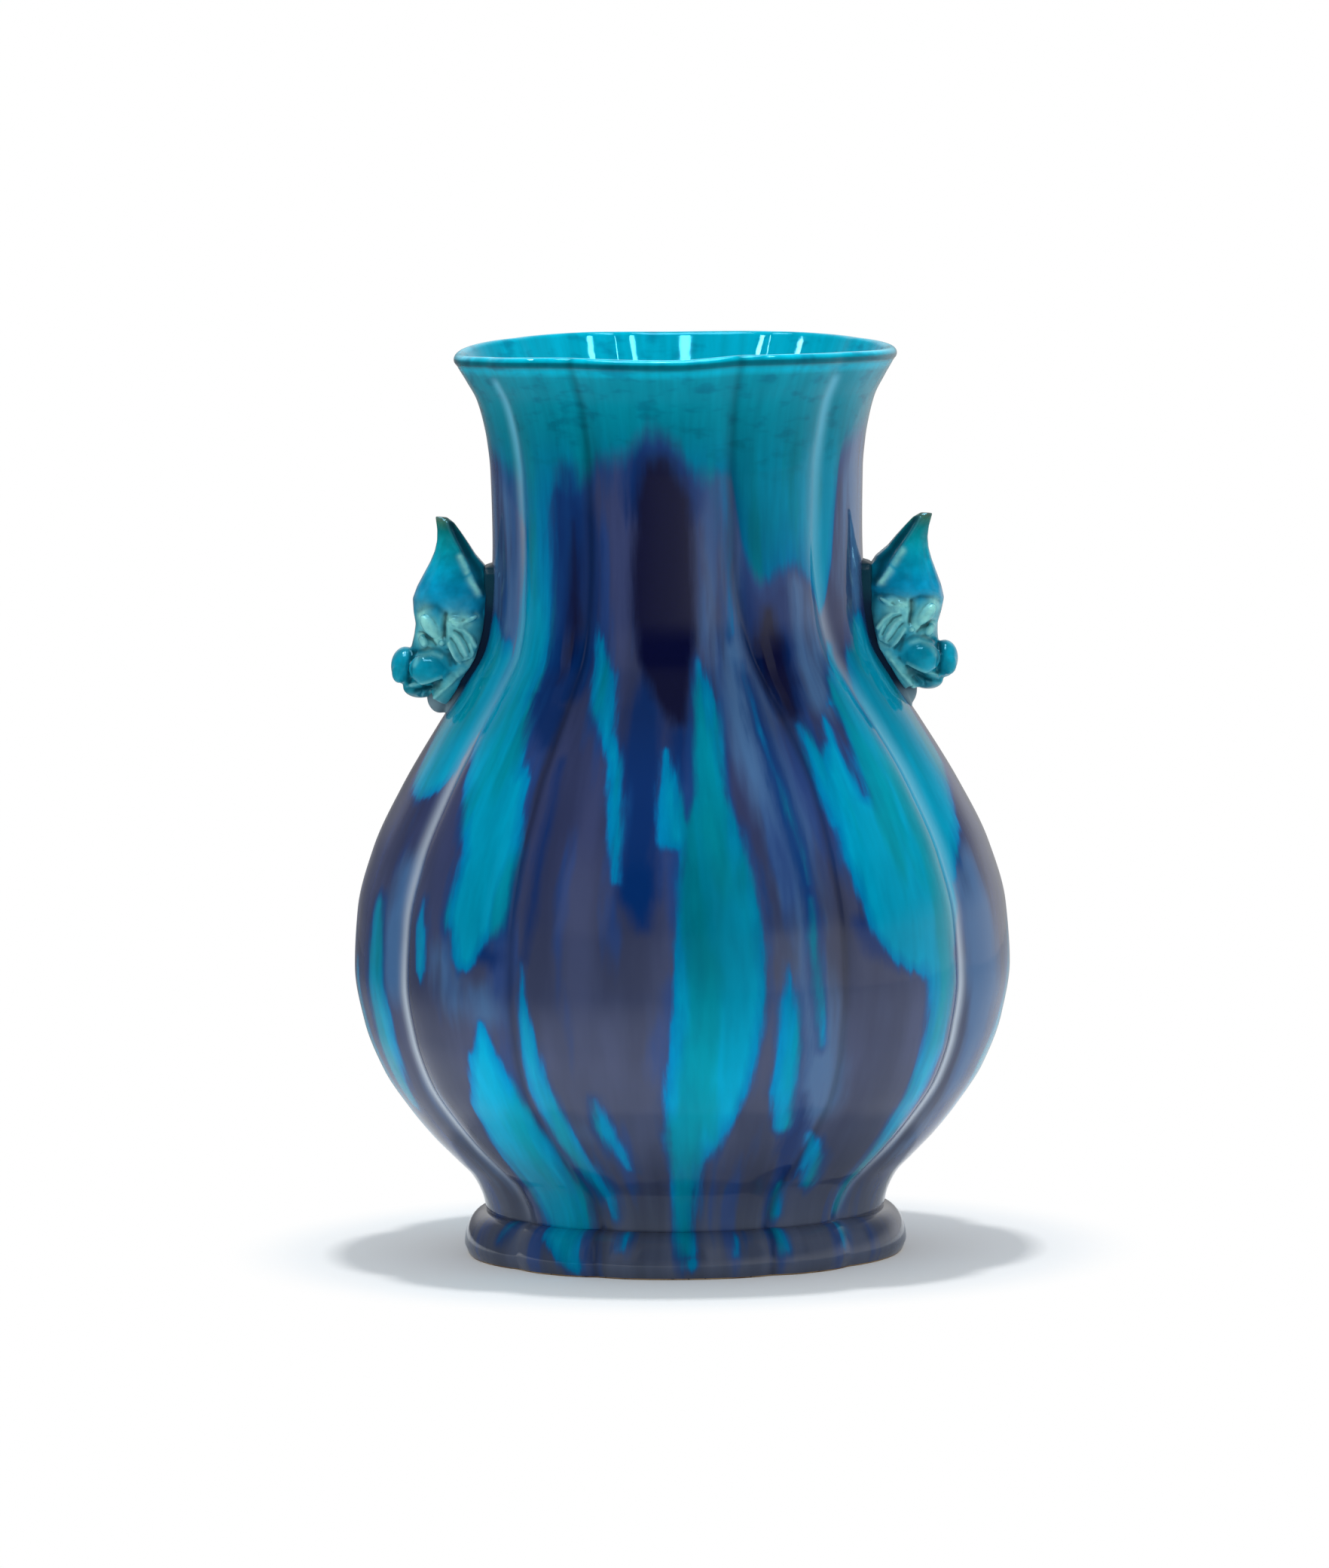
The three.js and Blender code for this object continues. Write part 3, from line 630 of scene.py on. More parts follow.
def clearGlaze(tree, height, flow, clouds, streaks, spots, run):  # turquoise, deeper in the middle of a run
    look = splashedGlaze
    depth = addNode(tree, "MapRange", None, {"Value": run, "From Max": look["turquoiseDepth"]})
    colour = addNode(tree, "ValToRGB", None, {"Fac": depth})
    setRamp(colour, look["turquoise"])
    greener = addNode(tree, "MapRange", softStep, {"Value": spots.outputs["Green"],
                      "From Min": 0.46, "From Max": 0.62, "To Max": look["greenAmount"]})
    start, end = look["tealFrom"]
    high = addNode(tree, "MapRange", softStep, {"Value": height, "From Min": start, "From Max": end})
    flat = addNode(tree, "Mapping", None, {"Vector": flow, "Scale": look["fleckShape"]})
    flecks = addNode(tree, "TexNoise", None, {"Vector": flat, "Scale": 1 / look["fleckWidth"], "Detail": 2.0})
    flecked = addNode(tree, "MapRange", softStep, {"Value": flecks, "From Min": 0.5, "From Max": 0.72})
    flecked = addNode(tree, "Math", multiply, {0: flecked, 1: high})
    for name, share in (("green", greener), ("teal", high), ("fleck", flecked)):
        colour = addNode(tree, "Mix", colourMix, {0: share, 6: colour, 7: look[name]}).outputs[2]
    for noise, (low, high) in ((clouds, look["cloudTone"]), (streaks, look["streakTone"])):
        tone = addNode(tree, "MapRange", None,
                       {"Value": noise, "From Min": 0.3, "From Max": 0.7, "To Min": low, "To Max": high})
        colour = addNode(tree, "VectorMath", scaleColour, {0: colour, "Scale": tone})
    return colour


def glazeShader(tree, look, colour):  # glassy, with a slow ripple about 11 mm across
    place = addNode(tree, "TexCoord").outputs["Object"]
    ripple = addNode(tree, "TexNoise", None, {"Vector": place, "Scale": 90.0, "Detail": 2.0})
    bump = addNode(tree, "Bump", None, {"Height": ripple, "Strength": 0.5, "Distance": 0.00018})
    shader = addNode(tree, "BsdfPrincipled", None, {"Base Color": colour, "Normal": bump,
                     "Roughness": look["roughness"], "IOR": look["ior"]})
    addNode(tree, "OutputMaterial", None, {"Surface": shader})
    return shader


splashed = makeSplashedGlaze()
wallMesh = makeWall()
wallSlots = {"lower_body": "splashed_glaze", "upper_body": "splashed_glaze", "neck": "splashed_glaze",
             "lip": "lip_glaze"}
seams = outline["seams"] + (outline["aboveMouth"],)
for (name, slot), low, high in zip(wallSlots.items(), seams, seams[1:]):
    section = cutSection(wallMesh, name, low, high)
    addPiece("glazed_" + name, section, splashed, [name])
    print("made", name, len(section.polygons))
bpy.data.meshes.remove(wallMesh)


footRing = {
    # radius and height of the upper edge, of the widest point and of the floor slab's seat, mm
    "crease": (65.8, 15),
    "edge": (73.1, 3.6),
    "seat": (51.4, 15),
    "contact": (62.9, 71.9),    # inner and outer radius of the ring that touches the ground
    "turns": 15,                # points round the outer edge
    "glazeStops": 0.9,          # bare clay below this height
}


def makeFoot():
    (crease, top), (edge, edgeHeight), (seat, _) = footRing["crease"], footRing["edge"], footRing["seat"]
    contactIn, contactOut = footRing["contact"]
    points = [(contactIn + 0.6, 0), (contactOut - 0.6, 0), (contactOut, 0.5)]
    for turn in np.radians(np.linspace(0, 90, footRing["turns"])):
        points.append((crease + (edge - crease) * math.cos(turn),
                       edgeHeight + (top - edgeHeight) * math.sin(turn)))
    points += [(60, top), (seat, top), (seat + 1, top - 1.4)]
    points += [(seat + 3.8 + i, 11.0 - i * 1.4) for i in range(7)] + [(contactIn, 0.7)]
    mesh = spinOutline(points, True)
    co = positions(mesh) / mm
    angle, radius = polar(co)
    z = co[:, 2].copy()
    drop, nearest, outer = lobeDrop(angle, z, radius)
    drop *= np.clip((radius - 63.2) / 2.4, 0, 1)   # the grooves end before the underside
    mesh.vertices.foreach_set("co", (fromPolar(angle, radius - drop, z) * mm).ravel())
    mesh.update()
    runs = mirroredRuns(glazeRuns["foot"])
    storeGlaze(mesh, angle, z, radius, np.zeros_like(z, bool), lambda *at: strokeDistance(*at, runs))
    storeNumbers(mesh, "feather", np.zeros_like(z))
    storeGrooves(mesh, angle, z, nearest, outer)
    storeVectors(mesh, "flow", fromPolar(angle, np.full_like(z, glazeRuns["flowRadius"]), z))
    mesh.polygons.foreach_set("use_smooth", [True] * len(mesh.polygons))
    mesh.set_sharp_from_angle(angle=math.radians(50))
    return mesh


bareClay = {"clay": "#B59A78", "burnt": "#7A5638", "speck": "#4E3A28", "roughness": 0.85}


def makeBareClay():  # unglazed stoneware where the pot stood in the kiln: matt buff, burnt and finely specked
    material, tree = newMaterial("bare_fired_clay_on_foot")
    place = addNode(tree, "TexCoord").outputs["Object"]
    patches = addNode(tree, "TexNoise", None, {"Vector": place, "Scale": 70.0, "Detail": 4.0})
    specks = addNode(tree, "TexNoise", None, {"Vector": place, "Scale": 900.0, "Detail": 2.0})
    colour = bareClay["clay"]
    for name, noise, start, end in (("burnt", patches, 0.4, 0.7), ("speck", specks, 0.62, 0.7)):
        share = addNode(tree, "MapRange", softStep, {"Value": noise, "From Min": start, "From Max": end})
        mixed = addNode(tree, "Mix", colourMix, {0: share, 6: colour, 7: bareClay[name]})
        colour = mixed.outputs[2]
    bump = addNode(tree, "Bump", None, {"Height": specks, "Strength": 0.6, "Distance": 0.0002})
    shader = addNode(tree, "BsdfPrincipled", None,
                     {"Base Color": colour, "Normal": bump, "Roughness": bareClay["roughness"]})
    addNode(tree, "OutputMaterial", None, {"Surface": shader})
    return material


foot = addPiece("glazed_foot_ring", makeFoot(), splashed, ["foot_ring"])
foot.data.materials.append(makeBareClay())
for face in foot.data.polygons:
    if face.center.z < footRing["glazeStops"] * mm:
        face.material_index = 1
print("made foot ring", len(foot.data.polygons))


floorSlab = {
    # radius and height, in mm: over the top from the middle to the edge, then back along the underside
    "top": [(0, 19.9), (12, 20.0), (26, 20.2), (40, 20.5), (50, 20.8), (55, 21.0), (56.8, 20.6),
            (57.3, 19.8)],
    "under": [(57.3, 16), (56.8, 15.3), (55.4, 15.0), (40, 15.1), (20, 15.3), (0, 15.4)],
    "rings": (0.04, 5.5),       # height and spacing of the finger marks
    "ringsEnd": 53,
    "ringRow": 0.9,
    "steps": 144,
    "deep": "#0786A8",
    "thin": "#12A4C4",
    "roughness": 0.35,
    "ior": 1.52,
    "gloss": 0.2,
}


def makeFloorSlab():
    (rise, spacing), ringsEnd = floorSlab["rings"], floorSlab["ringsEnd"]
    rim = [r for r, _ in floorSlab["top"] if r > ringsEnd]
    radius = np.concatenate([np.arange(0, ringsEnd + 1, floorSlab["ringRow"]), rim])
    level = np.interp(radius, *zip(*floorSlab["top"]))
    level += rise * np.sin(radius / spacing * 2 * math.pi) * (radius < ringsEnd) * np.clip(radius / 6, 0, 1)
    bm = bmesh.new()
    verts = [bm.verts.new((r * mm, 0, z * mm)) for r, z in list(zip(radius, level)) + floorSlab["under"]]
    edges = [bm.edges.new(pair) for pair in zip(verts, verts[1:])]
    bmesh.ops.spin(bm, geom=verts + edges, cent=(0, 0, 0), axis=(0, 0, 1), dvec=(0, 0, 0), angle=2 * math.pi,
                   steps=floorSlab["steps"], use_merge=True, use_duplicate=False)
    bmesh.ops.remove_doubles(bm, verts=bm.verts[:], dist=1e-6)
    bmesh.ops.recalc_face_normals(bm, faces=bm.faces[:])
    for face in bm.faces:
        face.smooth = True
    mesh = bpy.data.meshes.new("slab")
    bm.to_mesh(mesh)
    bm.free()
    return mesh


def makeInsideGlaze():  # turquoise glaze over the floor inside, thin and cloudy: a soft sheen
    material, tree = newMaterial("turquoise_glaze_inside")
    place = addNode(tree, "TexCoord").outputs["Object"]
    clouds = addNode(tree, "TexNoise", None, {"Vector": place, "Scale": 120.0, "Detail": 4.0})
    colour = addNode(tree, "ValToRGB", None, {"Fac": clouds})
    setRamp(colour, [(0.35, floorSlab["deep"]), (0.7, floorSlab["thin"])])
    shader = glazeShader(tree, floorSlab, colour)
    shader.inputs["Specular IOR Level"].default_value = floorSlab["gloss"]
    return material


slab = addPiece("glazed_base_slab", makeFloorSlab(), makeInsideGlaze(), ["base_slab"])
print("made floor slab", len(slab.data.polygons))


# beast masks, in millimetres: out from the neck, sideways from the middle, up from the centre

beastMask = {
    "centre": (60.9, 205),   # radius and height of the mask's own origin
    "pivot": (15, 5),   # out and up, where a mask is tilted
    "standOff": 2.7,             # clay between the vase and the mask
    "skin": 0.5,                 # taken off again by the smoothing
    "voxel": 0.32,
    "smoothing": (4, 1, 30),   # rounds over the rough shape, over the carving, and to find the hollows
    "sideFacing": (0.15, 0.5),   # carving and pale glaze fade in as a surface turns to the side
    "middleShift": 0.75,         # how much of a mask's shift its middle takes
    "shiftFade": (-16, -8),   # the shift fades out between these heights, counted downwards
    "sections": [  # up, inner, outer, width
        (-18.2, 12, 21, 9), (-17.5, 10, 22.5, 12), (-14, 4, 25.6, 17), (-10, 0, 26, 20), (-5, -1, 25.2, 22),
        (0, -2, 24.4, 24.5), (3.5, -2, 24.2, 26), (7.5, -2, 25.2, 27), (11.8, -2, 25.8, 27.4),
        (16, -2, 24.6, 26.4), (21, -1, 22.4, 22.5), (24.4, 2.4, 20.9, 18.5), (28, 6.2, 19.7, 14),
        (31.5, 8.8, 19.2, 10.4), (35, 11.6, 19.4, 7), (37.8, 14, 20, 4.2), (39.4, 16.4, 20.4, 2)],
    "squareness": 2.2,
    "sides": 48,
    "lumps": [  # out, side, up, radii, tilt; both sides get one unless side is 0
        (27.0, 0, -8.4, (4.6, 6.6, 6.2), 0),   # nose
        (28.6, 3.8, -9.8, (2.6, 3.2, 3.6), 0),   # nostril wings
        (19.0, 7.4, -7.8, (6.6, 5.4, 5.4), 0),   # muzzle
        (14.6, 7.6, -9.4, (5.0, 3.6, 4.4), -35),   # back of the muzzle
        (21.0, 0, -14.8, (6.2, 7.4, 3.9), 8),   # jaw
        (19.8, 11.2, 6.6, (2.2, 2.4, 4.7), 40),   # brow
        (21.4, 10.0, 1.6, (1.6, 2.4, 2.4), 25),   # under the eye
        (15.4, 12.2, 1.6, (1.1, 1.3, 1.1), 0),   # corner of the eye
        (11.0, 12.6, 9.2, (3.4, 2.5, 1.9), -6),   # ear
        (6.4, 12.8, 10.4, (2.6, 1.6, 1.0), 30),   # tip of the ear
        (8.8, 11.2, 1.0, (5.0, 2.2, 5.2), -35),   # mane
        (12.6, 6.8, -13.6, (5.4, 3.0, 5.4), -38)],   # cheek
    "carved": [  # path of (out, up), half width, height: negative cuts in
        ([(16.4, 37.5), (13.4, 32), (9.4, 26), (6.4, 20.4), (3.6, 15.6)], 0.9, 0.8),   # ridge of the crest
        ([(13.6, 36.0), (9.6, 29.6), (5.4, 23.6), (3.0, 19)], 1.5, -0.6),
        ([(18.2, 36), (18.0, 30), (20, 23), (22.6, 16)], 1.6, -0.4),
        ([(3, 14.6), (9, 15.2), (14, 13.9), (19, 15.0), (24.6, 13.0)], 1.5, 0.35),   # brim of the crest
        ([(2.4, 12.2), (8, 12.9), (13.6, 11.4), (18, 12.9), (22, 12.6), (25, 10.6)], 1.0, -0.7),
        ([(15.0, 11.0), (15.1, 7.6), (14.9, 4.0)], 0.8, -1.5),   # slot beside the brow
        ([(17.6, 0.6), (19.6, 3.0), (22.4, 4.4), (24, 4.2)], 0.55, -0.9),
        ([(24.8, -2.6), (25.4, -7), (25.4, -12.6)], 0.9, -0.6),   # behind the nose
        ([(13.6, -2.6), (16.4, -0.9), (20, -0.8), (24.4, -2.4)], 0.8, -0.6),   # over the muzzle
        ([(14.6, -11.2), (18.6, -13.3), (22, -14.5), (26.6, -15.2)], 0.8, -1.3),   # mouth
        ([(14.8, -9.9), (19.4, -11.8), (24.8, -13.6)], 0.6, 0.55),
        ([(17.6, -14.6), (18.4, -16.4)], 0.45, -0.6),
        ([(20.4, -15.3), (21.0, -17.0)], 0.45, -0.6),
        ([(8.8, 10.0), (11.2, 9.6), (13.2, 8.6)], 0.6, -0.8),   # hollow of the ear
        ([(10.7, 7.2), (8.6, 6.6), (6.2, 4.4), (4.4, 1.4)], 0.65, 0.75),   # curls of the mane
        ([(11.4, 4.8), (9.9, 3.6), (8.2, 0.8), (7.0, -1.6)], 0.65, 0.75),
        ([(13.0, 1.6), (12.0, -0.4), (10.6, -2.8), (9.0, -4.4)], 0.65, 0.7),
        ([(6.2, 2.0), (5.0, -0.8), (5.4, -3.2)], 0.5, 0.5),
        ([(11.6, 6.0), (9.2, 4.9), (7.2, 2.4), (5.8, -0.6)], 0.5, -0.8),
        ([(12.6, 3.4), (10.9, 1.6), (9.3, -1.2), (7.8, -3.2)], 0.5, -0.8),
        ([(13.6, -0.6), (12.2, -3.0), (10.2, -5.2)], 0.6, -0.9),
        ([(3.5, -1.6), (5.6, -5.2), (8.6, -8.6)], 0.7, 0.4),
        ([(9.4, -8.8), (13.4, -13.6), (18.6, -19.2)], 0.75, 0.8),   # edge of the cheek
        ([(12.0, -8.4), (15.2, -12.6), (18.8, -16.6)], 0.8, -0.8)],
    "pale": [  # path of (out, up), half width, strength
        ([(8.6, 9.0), (13.2, 9.2)], 2.6, 1.0),
        ([(11.5, 5.5), (8.5, 1.5), (7, -3)], 3.4, 0.62),
        ([(8, -7), (12, -11.4), (16, -16)], 1.8, 0.5),
        ([(13.6, 7.6), (13.2, 5.0)], 1.0, 0.7),
        ([(4.6, 11.4), (8.4, 9.6)], 0.8, 0.75),
        ([(22.4, 9.8), (20.2, 7.0), (17.6, 3.4)], 2.5, 1.0),
        ([(22.4, 3.4), (20.6, 0.2)], 1.7, 0.85),
        ([(15.4, 1.6), (15.8, 1.5)], 0.8, 0.9),
        ([(10.7, 7.2), (8.6, 6.6), (6.2, 4.4), (4.4, 1.4)], 0.75, 0.95),
        ([(11.4, 4.8), (9.9, 3.6), (8.2, 0.8), (7.0, -1.6)], 0.75, 0.9),
        ([(13.0, 1.6), (12.0, -0.4), (10.6, -2.8), (9.0, -4.4)], 0.75, 0.8),
        ([(6.2, 2.0), (5.0, -0.8), (5.4, -3.2)], 0.6, 0.7),
        ([(9.4, 2.4), (8.4, -1.6)], 3.6, 0.35),
        ([(3.5, -1.6), (5.6, -5.2), (8.6, -8.6)], 0.6, 0.45),
        ([(9.4, -8.8), (13.4, -13.6), (18.6, -19.2)], 0.8, 0.85),
        ([(14.8, -9.9), (19.4, -11.8), (24.8, -13.6)], 0.6, 0.5),
        ([(15.4, -2.9), (18.4, -2.1), (22.4, -3.6), (24, -6.4)], 0.8, 0.35),
        # the last two are painted highlights on the crest
        ([(11.2, 27.0), (8.6, 22.6)], 0.95, 0.7),
        ([(7.4, 20.4), (4.8, 16.4)], 1.05, 0.75)],
    "deep": [
        # the first runs down the crest's neck-facing side, along a cut: painted shade
        ([(14.6, 37.5), (9.6, 30.4), (4.4, 23.4), (2.4, 17)], 1.9, 0.85),
        ([(2.4, 13), (2.4, 8), (2.8, 2)], 1.3, 0.5),
        ([(15.0, 10.6), (15.1, 7.6), (14.9, 4.0)], 0.9, 1.0),
        ([(14.6, 11.4), (18, 12.8), (22, 12.5), (25, 10.6)], 0.7, 0.5),
        ([(24.9, -2.6), (25.4, -7), (25.4, -12.6)], 0.9, 0.6),
        ([(13.8, -2.2), (16.4, -0.6), (20, -0.6), (24.2, -2.4)], 0.7, 0.5),
        ([(13.0, -2.0), (12.0, -5.4)], 0.9, 0.7),
        ([(15.6, -12.6), (18.6, -14.2), (23, -15.4)], 1.1, 0.9),
        ([(17.4, 1.0), (19.4, 3.0), (22.2, 4.2)], 0.5, 0.8)],
    "seats": {  # how far out, tilt in degrees, shift of the features, and turn round the vase
        "right": {"out": 0.5, "tilt": 4, "shift": (0, 0), "turn": 0},
        "left": {"out": 1.4, "tilt": -5, "shift": (-0.4, -2.8), "turn": 180}},
    "stem": {
        "top": 24.8, "bottom": -27, "topWidth": 20, "bottomWidth": 12, "voxel": 0.45,
        "cuts": 27,
        "widening": 1.25,            # full width is reached at the inverse of this share of the height
        "roundEnds": (0.14, 0.1),   # share of the height over which the sides round in, bottom and top
        "thinEnds": (0.22, 0.03),   # and over which it grows as thick as the rest
        "thinPower": 0.6,
        "sunk": 1.6,                 # into the wall
        "behindMask": 1.9,           # into the mask
        "pad": ((14.2, 0, -19.4), (4.6, 5.6, 6.0)),   # place and radii of the pad under the chin
        "smoothing": 5},
}


def segmentDistance(points, path):  # from flat points to a path of straight pieces
    best = np.full(len(points), 1e3)
    for start, end in zip(path, path[1:]):
        a, b = np.array(start, float), np.array(end, float)
        t = np.clip(((points - a) @ (b - a)) / max((b - a) @ (b - a), 1e-9), 0, 1)
        best = np.minimum(best, np.linalg.norm(points - a - t[:, None] * (b - a), axis=1))
    return best


def relax(co, edges, times):  # each point moves to the middle of its neighbours
    count = np.bincount(edges.ravel(), minlength=len(co))[:, None]
    for _ in range(times):
        total = np.stack([np.bincount(edges[:, 0], co[edges[:, 1], k], len(co))
                          + np.bincount(edges[:, 1], co[edges[:, 0], k], len(co)) for k in range(3)], 1)
        co = co * 0.4 + 0.6 * total / count
    return co


def edgeList(mesh):
    ends = np.empty(len(mesh.edges) * 2, np.int32)
    mesh.edges.foreach_get("vertices", ends)
    return ends.reshape(-1, 2)


def remeshed(bm, voxel, name):  # joins everything in the bmesh into one closed skin
    mesh = bpy.data.meshes.new(name)
    bm.to_mesh(mesh)
    bm.free()
    clay = bpy.data.objects.new(name, mesh)
    bpy.context.scene.collection.objects.link(clay)
    modifier = clay.modifiers.new("Remesh", "REMESH")
    modifier.mode = "VOXEL"
    modifier.voxel_size = voxel
    modifier.adaptivity = 0
    found = clay.evaluated_get(bpy.context.evaluated_depsgraph_get())
    result = bpy.data.meshes.new_from_object(found)
    bpy.data.objects.remove(clay)
    bpy.data.meshes.remove(mesh)
    return result


def seatMatrix(seat):  # from the mask's own millimetres to its place on the vase, still in millimetres
    pivotOut, pivotUp = beastMask["pivot"]
    radius, height = beastMask["centre"]
    return (Matrix.Rotation(math.radians(seat["turn"]), 4, "Z")
            @ Matrix.Translation((radius + seat["out"] + pivotOut, 0, height + pivotUp))
            @ Matrix.Rotation(math.radians(seat["tilt"]), 4, "Y")
            @ Matrix.Translation((-pivotOut, 0, -pivotUp)))


def transformed(points, matrix):
    m = np.array(matrix)
    return points @ m[:3, :3].T + m[:3, 3]


def addLump(bm, out, side, up, radii, tilt):
    for sign in ((1, -1) if side else (1,)):
        place = (Matrix.Translation((out, sign * side, up)) @ Matrix.Rotation(math.radians(tilt), 4, "Y")
                 @ Matrix.Diagonal((*radii, 1)))
        bmesh.ops.create_icosphere(bm, subdivisions=4, radius=1, matrix=place)


def keepOff(points, gap):  # nothing of the mask comes closer to the vase than this
    radius = np.hypot(points[:, 0], points[:, 1])
    scale = np.maximum(1, (crestAt(points[:, 2]) + gap) / np.maximum(radius, 1e-6))
    return np.stack([points[:, 0] * scale, points[:, 1] * scale, points[:, 2]], 1)


def sculptMask(seat, name):
    m = beastMask
    shiftOut, shiftUp = seat["shift"]
    rough, fine, reach = m["smoothing"]
    bm = bmesh.new()
    power = 2 / m["squareness"]
    rings = []
    for up, inner, outer, width in m["sections"]:
        ring = bmesh.ops.create_circle(bm, cap_ends=False, segments=m["sides"], radius=1)["verts"]
        for v in ring:
            c, n = v.co.x, v.co.y
            v.co = ((inner + outer) / 2 + (outer - inner) / 2 * math.copysign(abs(c) ** power, c),
                    width / 2 * math.copysign(abs(n) ** power, n), up)
        rings.append(list({e for v in ring for e in v.link_edges}))
    for low, high in zip(rings, rings[1:]):
        bmesh.ops.bridge_loops(bm, edges=low + high)
    bmesh.ops.holes_fill(bm, edges=[e for e in bm.edges if e.is_boundary], sides=m["sides"])
    for out, side, up, radii, tilt in m["lumps"]:
        part = m["middleShift"] if side == 0 else 1
        addLump(bm, out + shiftOut * part, side, up + shiftUp * part, radii, tilt)
    bmesh.ops.recalc_face_normals(bm, faces=bm.faces[:])
    toVase = seatMatrix(seat)
    back = toVase.inverted()
    raw = np.array([v.co for v in bm.verts])
    raw = transformed(keepOff(transformed(raw, toVase), m["standOff"] - m["skin"]), back)
    for v, co in zip(bm.verts, raw):
        v.co = co
    mesh = remeshed(bm, m["voxel"], name)
    edges = edgeList(mesh)
    co = relax(positions(mesh), edges, rough)
    mesh.vertices.foreach_set("co", co.ravel())
    mesh.update()
    normal = pointNormals(mesh)
    flat = co[:, [0, 2]] - np.array([shiftOut, shiftUp]) * smoothStep(-co[:, 2], *m["shiftFade"])[:, None]
    facing = smoothStep(np.abs(normal[:, 1]), *m["sideFacing"])
    move = np.zeros(len(co))
    for path, width, rise in m["carved"]:
        move += rise * np.exp(-(segmentDistance(flat, path) / width) ** 2)
    co = relax(co + normal * (move * facing)[:, None], edges, fine)
    mesh.vertices.foreach_set("co", co.ravel())
    mesh.update()
    for layer in ("pale", "deep"):
        values = np.zeros(len(co))
        for path, width, strength in m[layer]:
            stroke = strength * np.exp(-(segmentDistance(flat, path) / width) ** 2) * facing
            values = np.maximum(values, stroke)
        storeNumbers(mesh, layer, values)
    storeNumbers(mesh, "hollow", ((relax(co, edges, reach) - co) * pointNormals(mesh)).sum(1))
    storeNumbers(mesh, "rise", flat[:, 1])
    mesh.vertices.foreach_set("co", (transformed(co, toVase) * mm).ravel())
    mesh.polygons.foreach_set("use_smooth", [True] * len(mesh.polygons))
    return mesh


def sculptStem(seat, name):  # the clay pad that joins the mask to the vase
    m, stem = beastMask, beastMask["stem"]
    low, high, bottom, top = stem["bottom"], stem["top"], stem["bottomWidth"], stem["topWidth"]
    (roundLow, roundHigh), (thinLow, thinHigh) = stem["roundEnds"], stem["thinEnds"]
    middle = m["centre"][1]
    bm = bmesh.new()
    bmesh.ops.create_cube(bm, size=2)
    bmesh.ops.subdivide_edges(bm, edges=bm.edges[:], cuts=stem["cuts"], use_grid_fill=True)
    for v in bm.verts:
        share = (v.co.z + 1) / 2
        half = (bottom + (top - bottom) * min(1, share * stem["widening"])) / 2
        past = max(0.0, 1 - share / roundLow, 1 - (1 - share) / roundHigh)
        side = v.co.y * half * math.sqrt(max(0.02, 1 - past ** 2))
        z = middle + low + share * (high - low)
        thin = min(1, share / thinLow, (1 - share) / thinHigh) ** stem["thinPower"]
        outwards = 0 if v.co.x < 0 else (m["standOff"] + stem["behindMask"]) * thin
        radius = float(crestRadius(np.float64(z))) - stem["sunk"] + outwards
        v.co = (math.sqrt(max(1, radius ** 2 - side ** 2)), side, z)
    place, radii = stem["pad"]
    pad = bmesh.ops.create_icosphere(bm, subdivisions=4, radius=1, matrix=Matrix.Translation(place)
                                     @ Matrix.Diagonal((*radii, 1)))["verts"]
    bmesh.ops.transform(bm, matrix=seatMatrix(dict(seat, turn=0)), verts=pad)
    mesh = remeshed(bm, stem["voxel"], name)
    co = relax(positions(mesh), edgeList(mesh), stem["smoothing"])
    co = transformed(co, Matrix.Rotation(math.radians(seat["turn"]), 4, "Z"))
    storeNumbers(mesh, "rise", co[:, 2] - middle)
    mesh.vertices.foreach_set("co", (co * mm).ravel())
    mesh.polygons.foreach_set("use_smooth", [True] * len(mesh.polygons))
    return mesh


maskGlaze = {
    # mm from the mask's centre
    "byHeight": [(-20, "#5A96A4"), (-16, "#2A9CB0"), (-12, "#18A4BC"), (-6, "#06A2C2"), (-2, "#2098B2"),
                 (3, "#4CB0C0"), (9, "#34A8C0"), (12.5, "#0E94BC"), (17, "#049AC6"), (24, "#00A4C4"),
                 (30, "#06A2B2"), (35, "#0A8488"), (37.5, "#3C7E6C"), (39.5, "#5E6A5E")],
    "mottle": (0.8, 1.2),
    "pale": "#A2F2EA",
    "paleCool": "#7CB8CC",
    "deep": "#033E4E",
    "hollowDark": 0.62,
    "edgeLight": 0.45,
    "clearTint": "#70D0F0",
    "roughness": 0.07,
    "ior": 1.55,
}


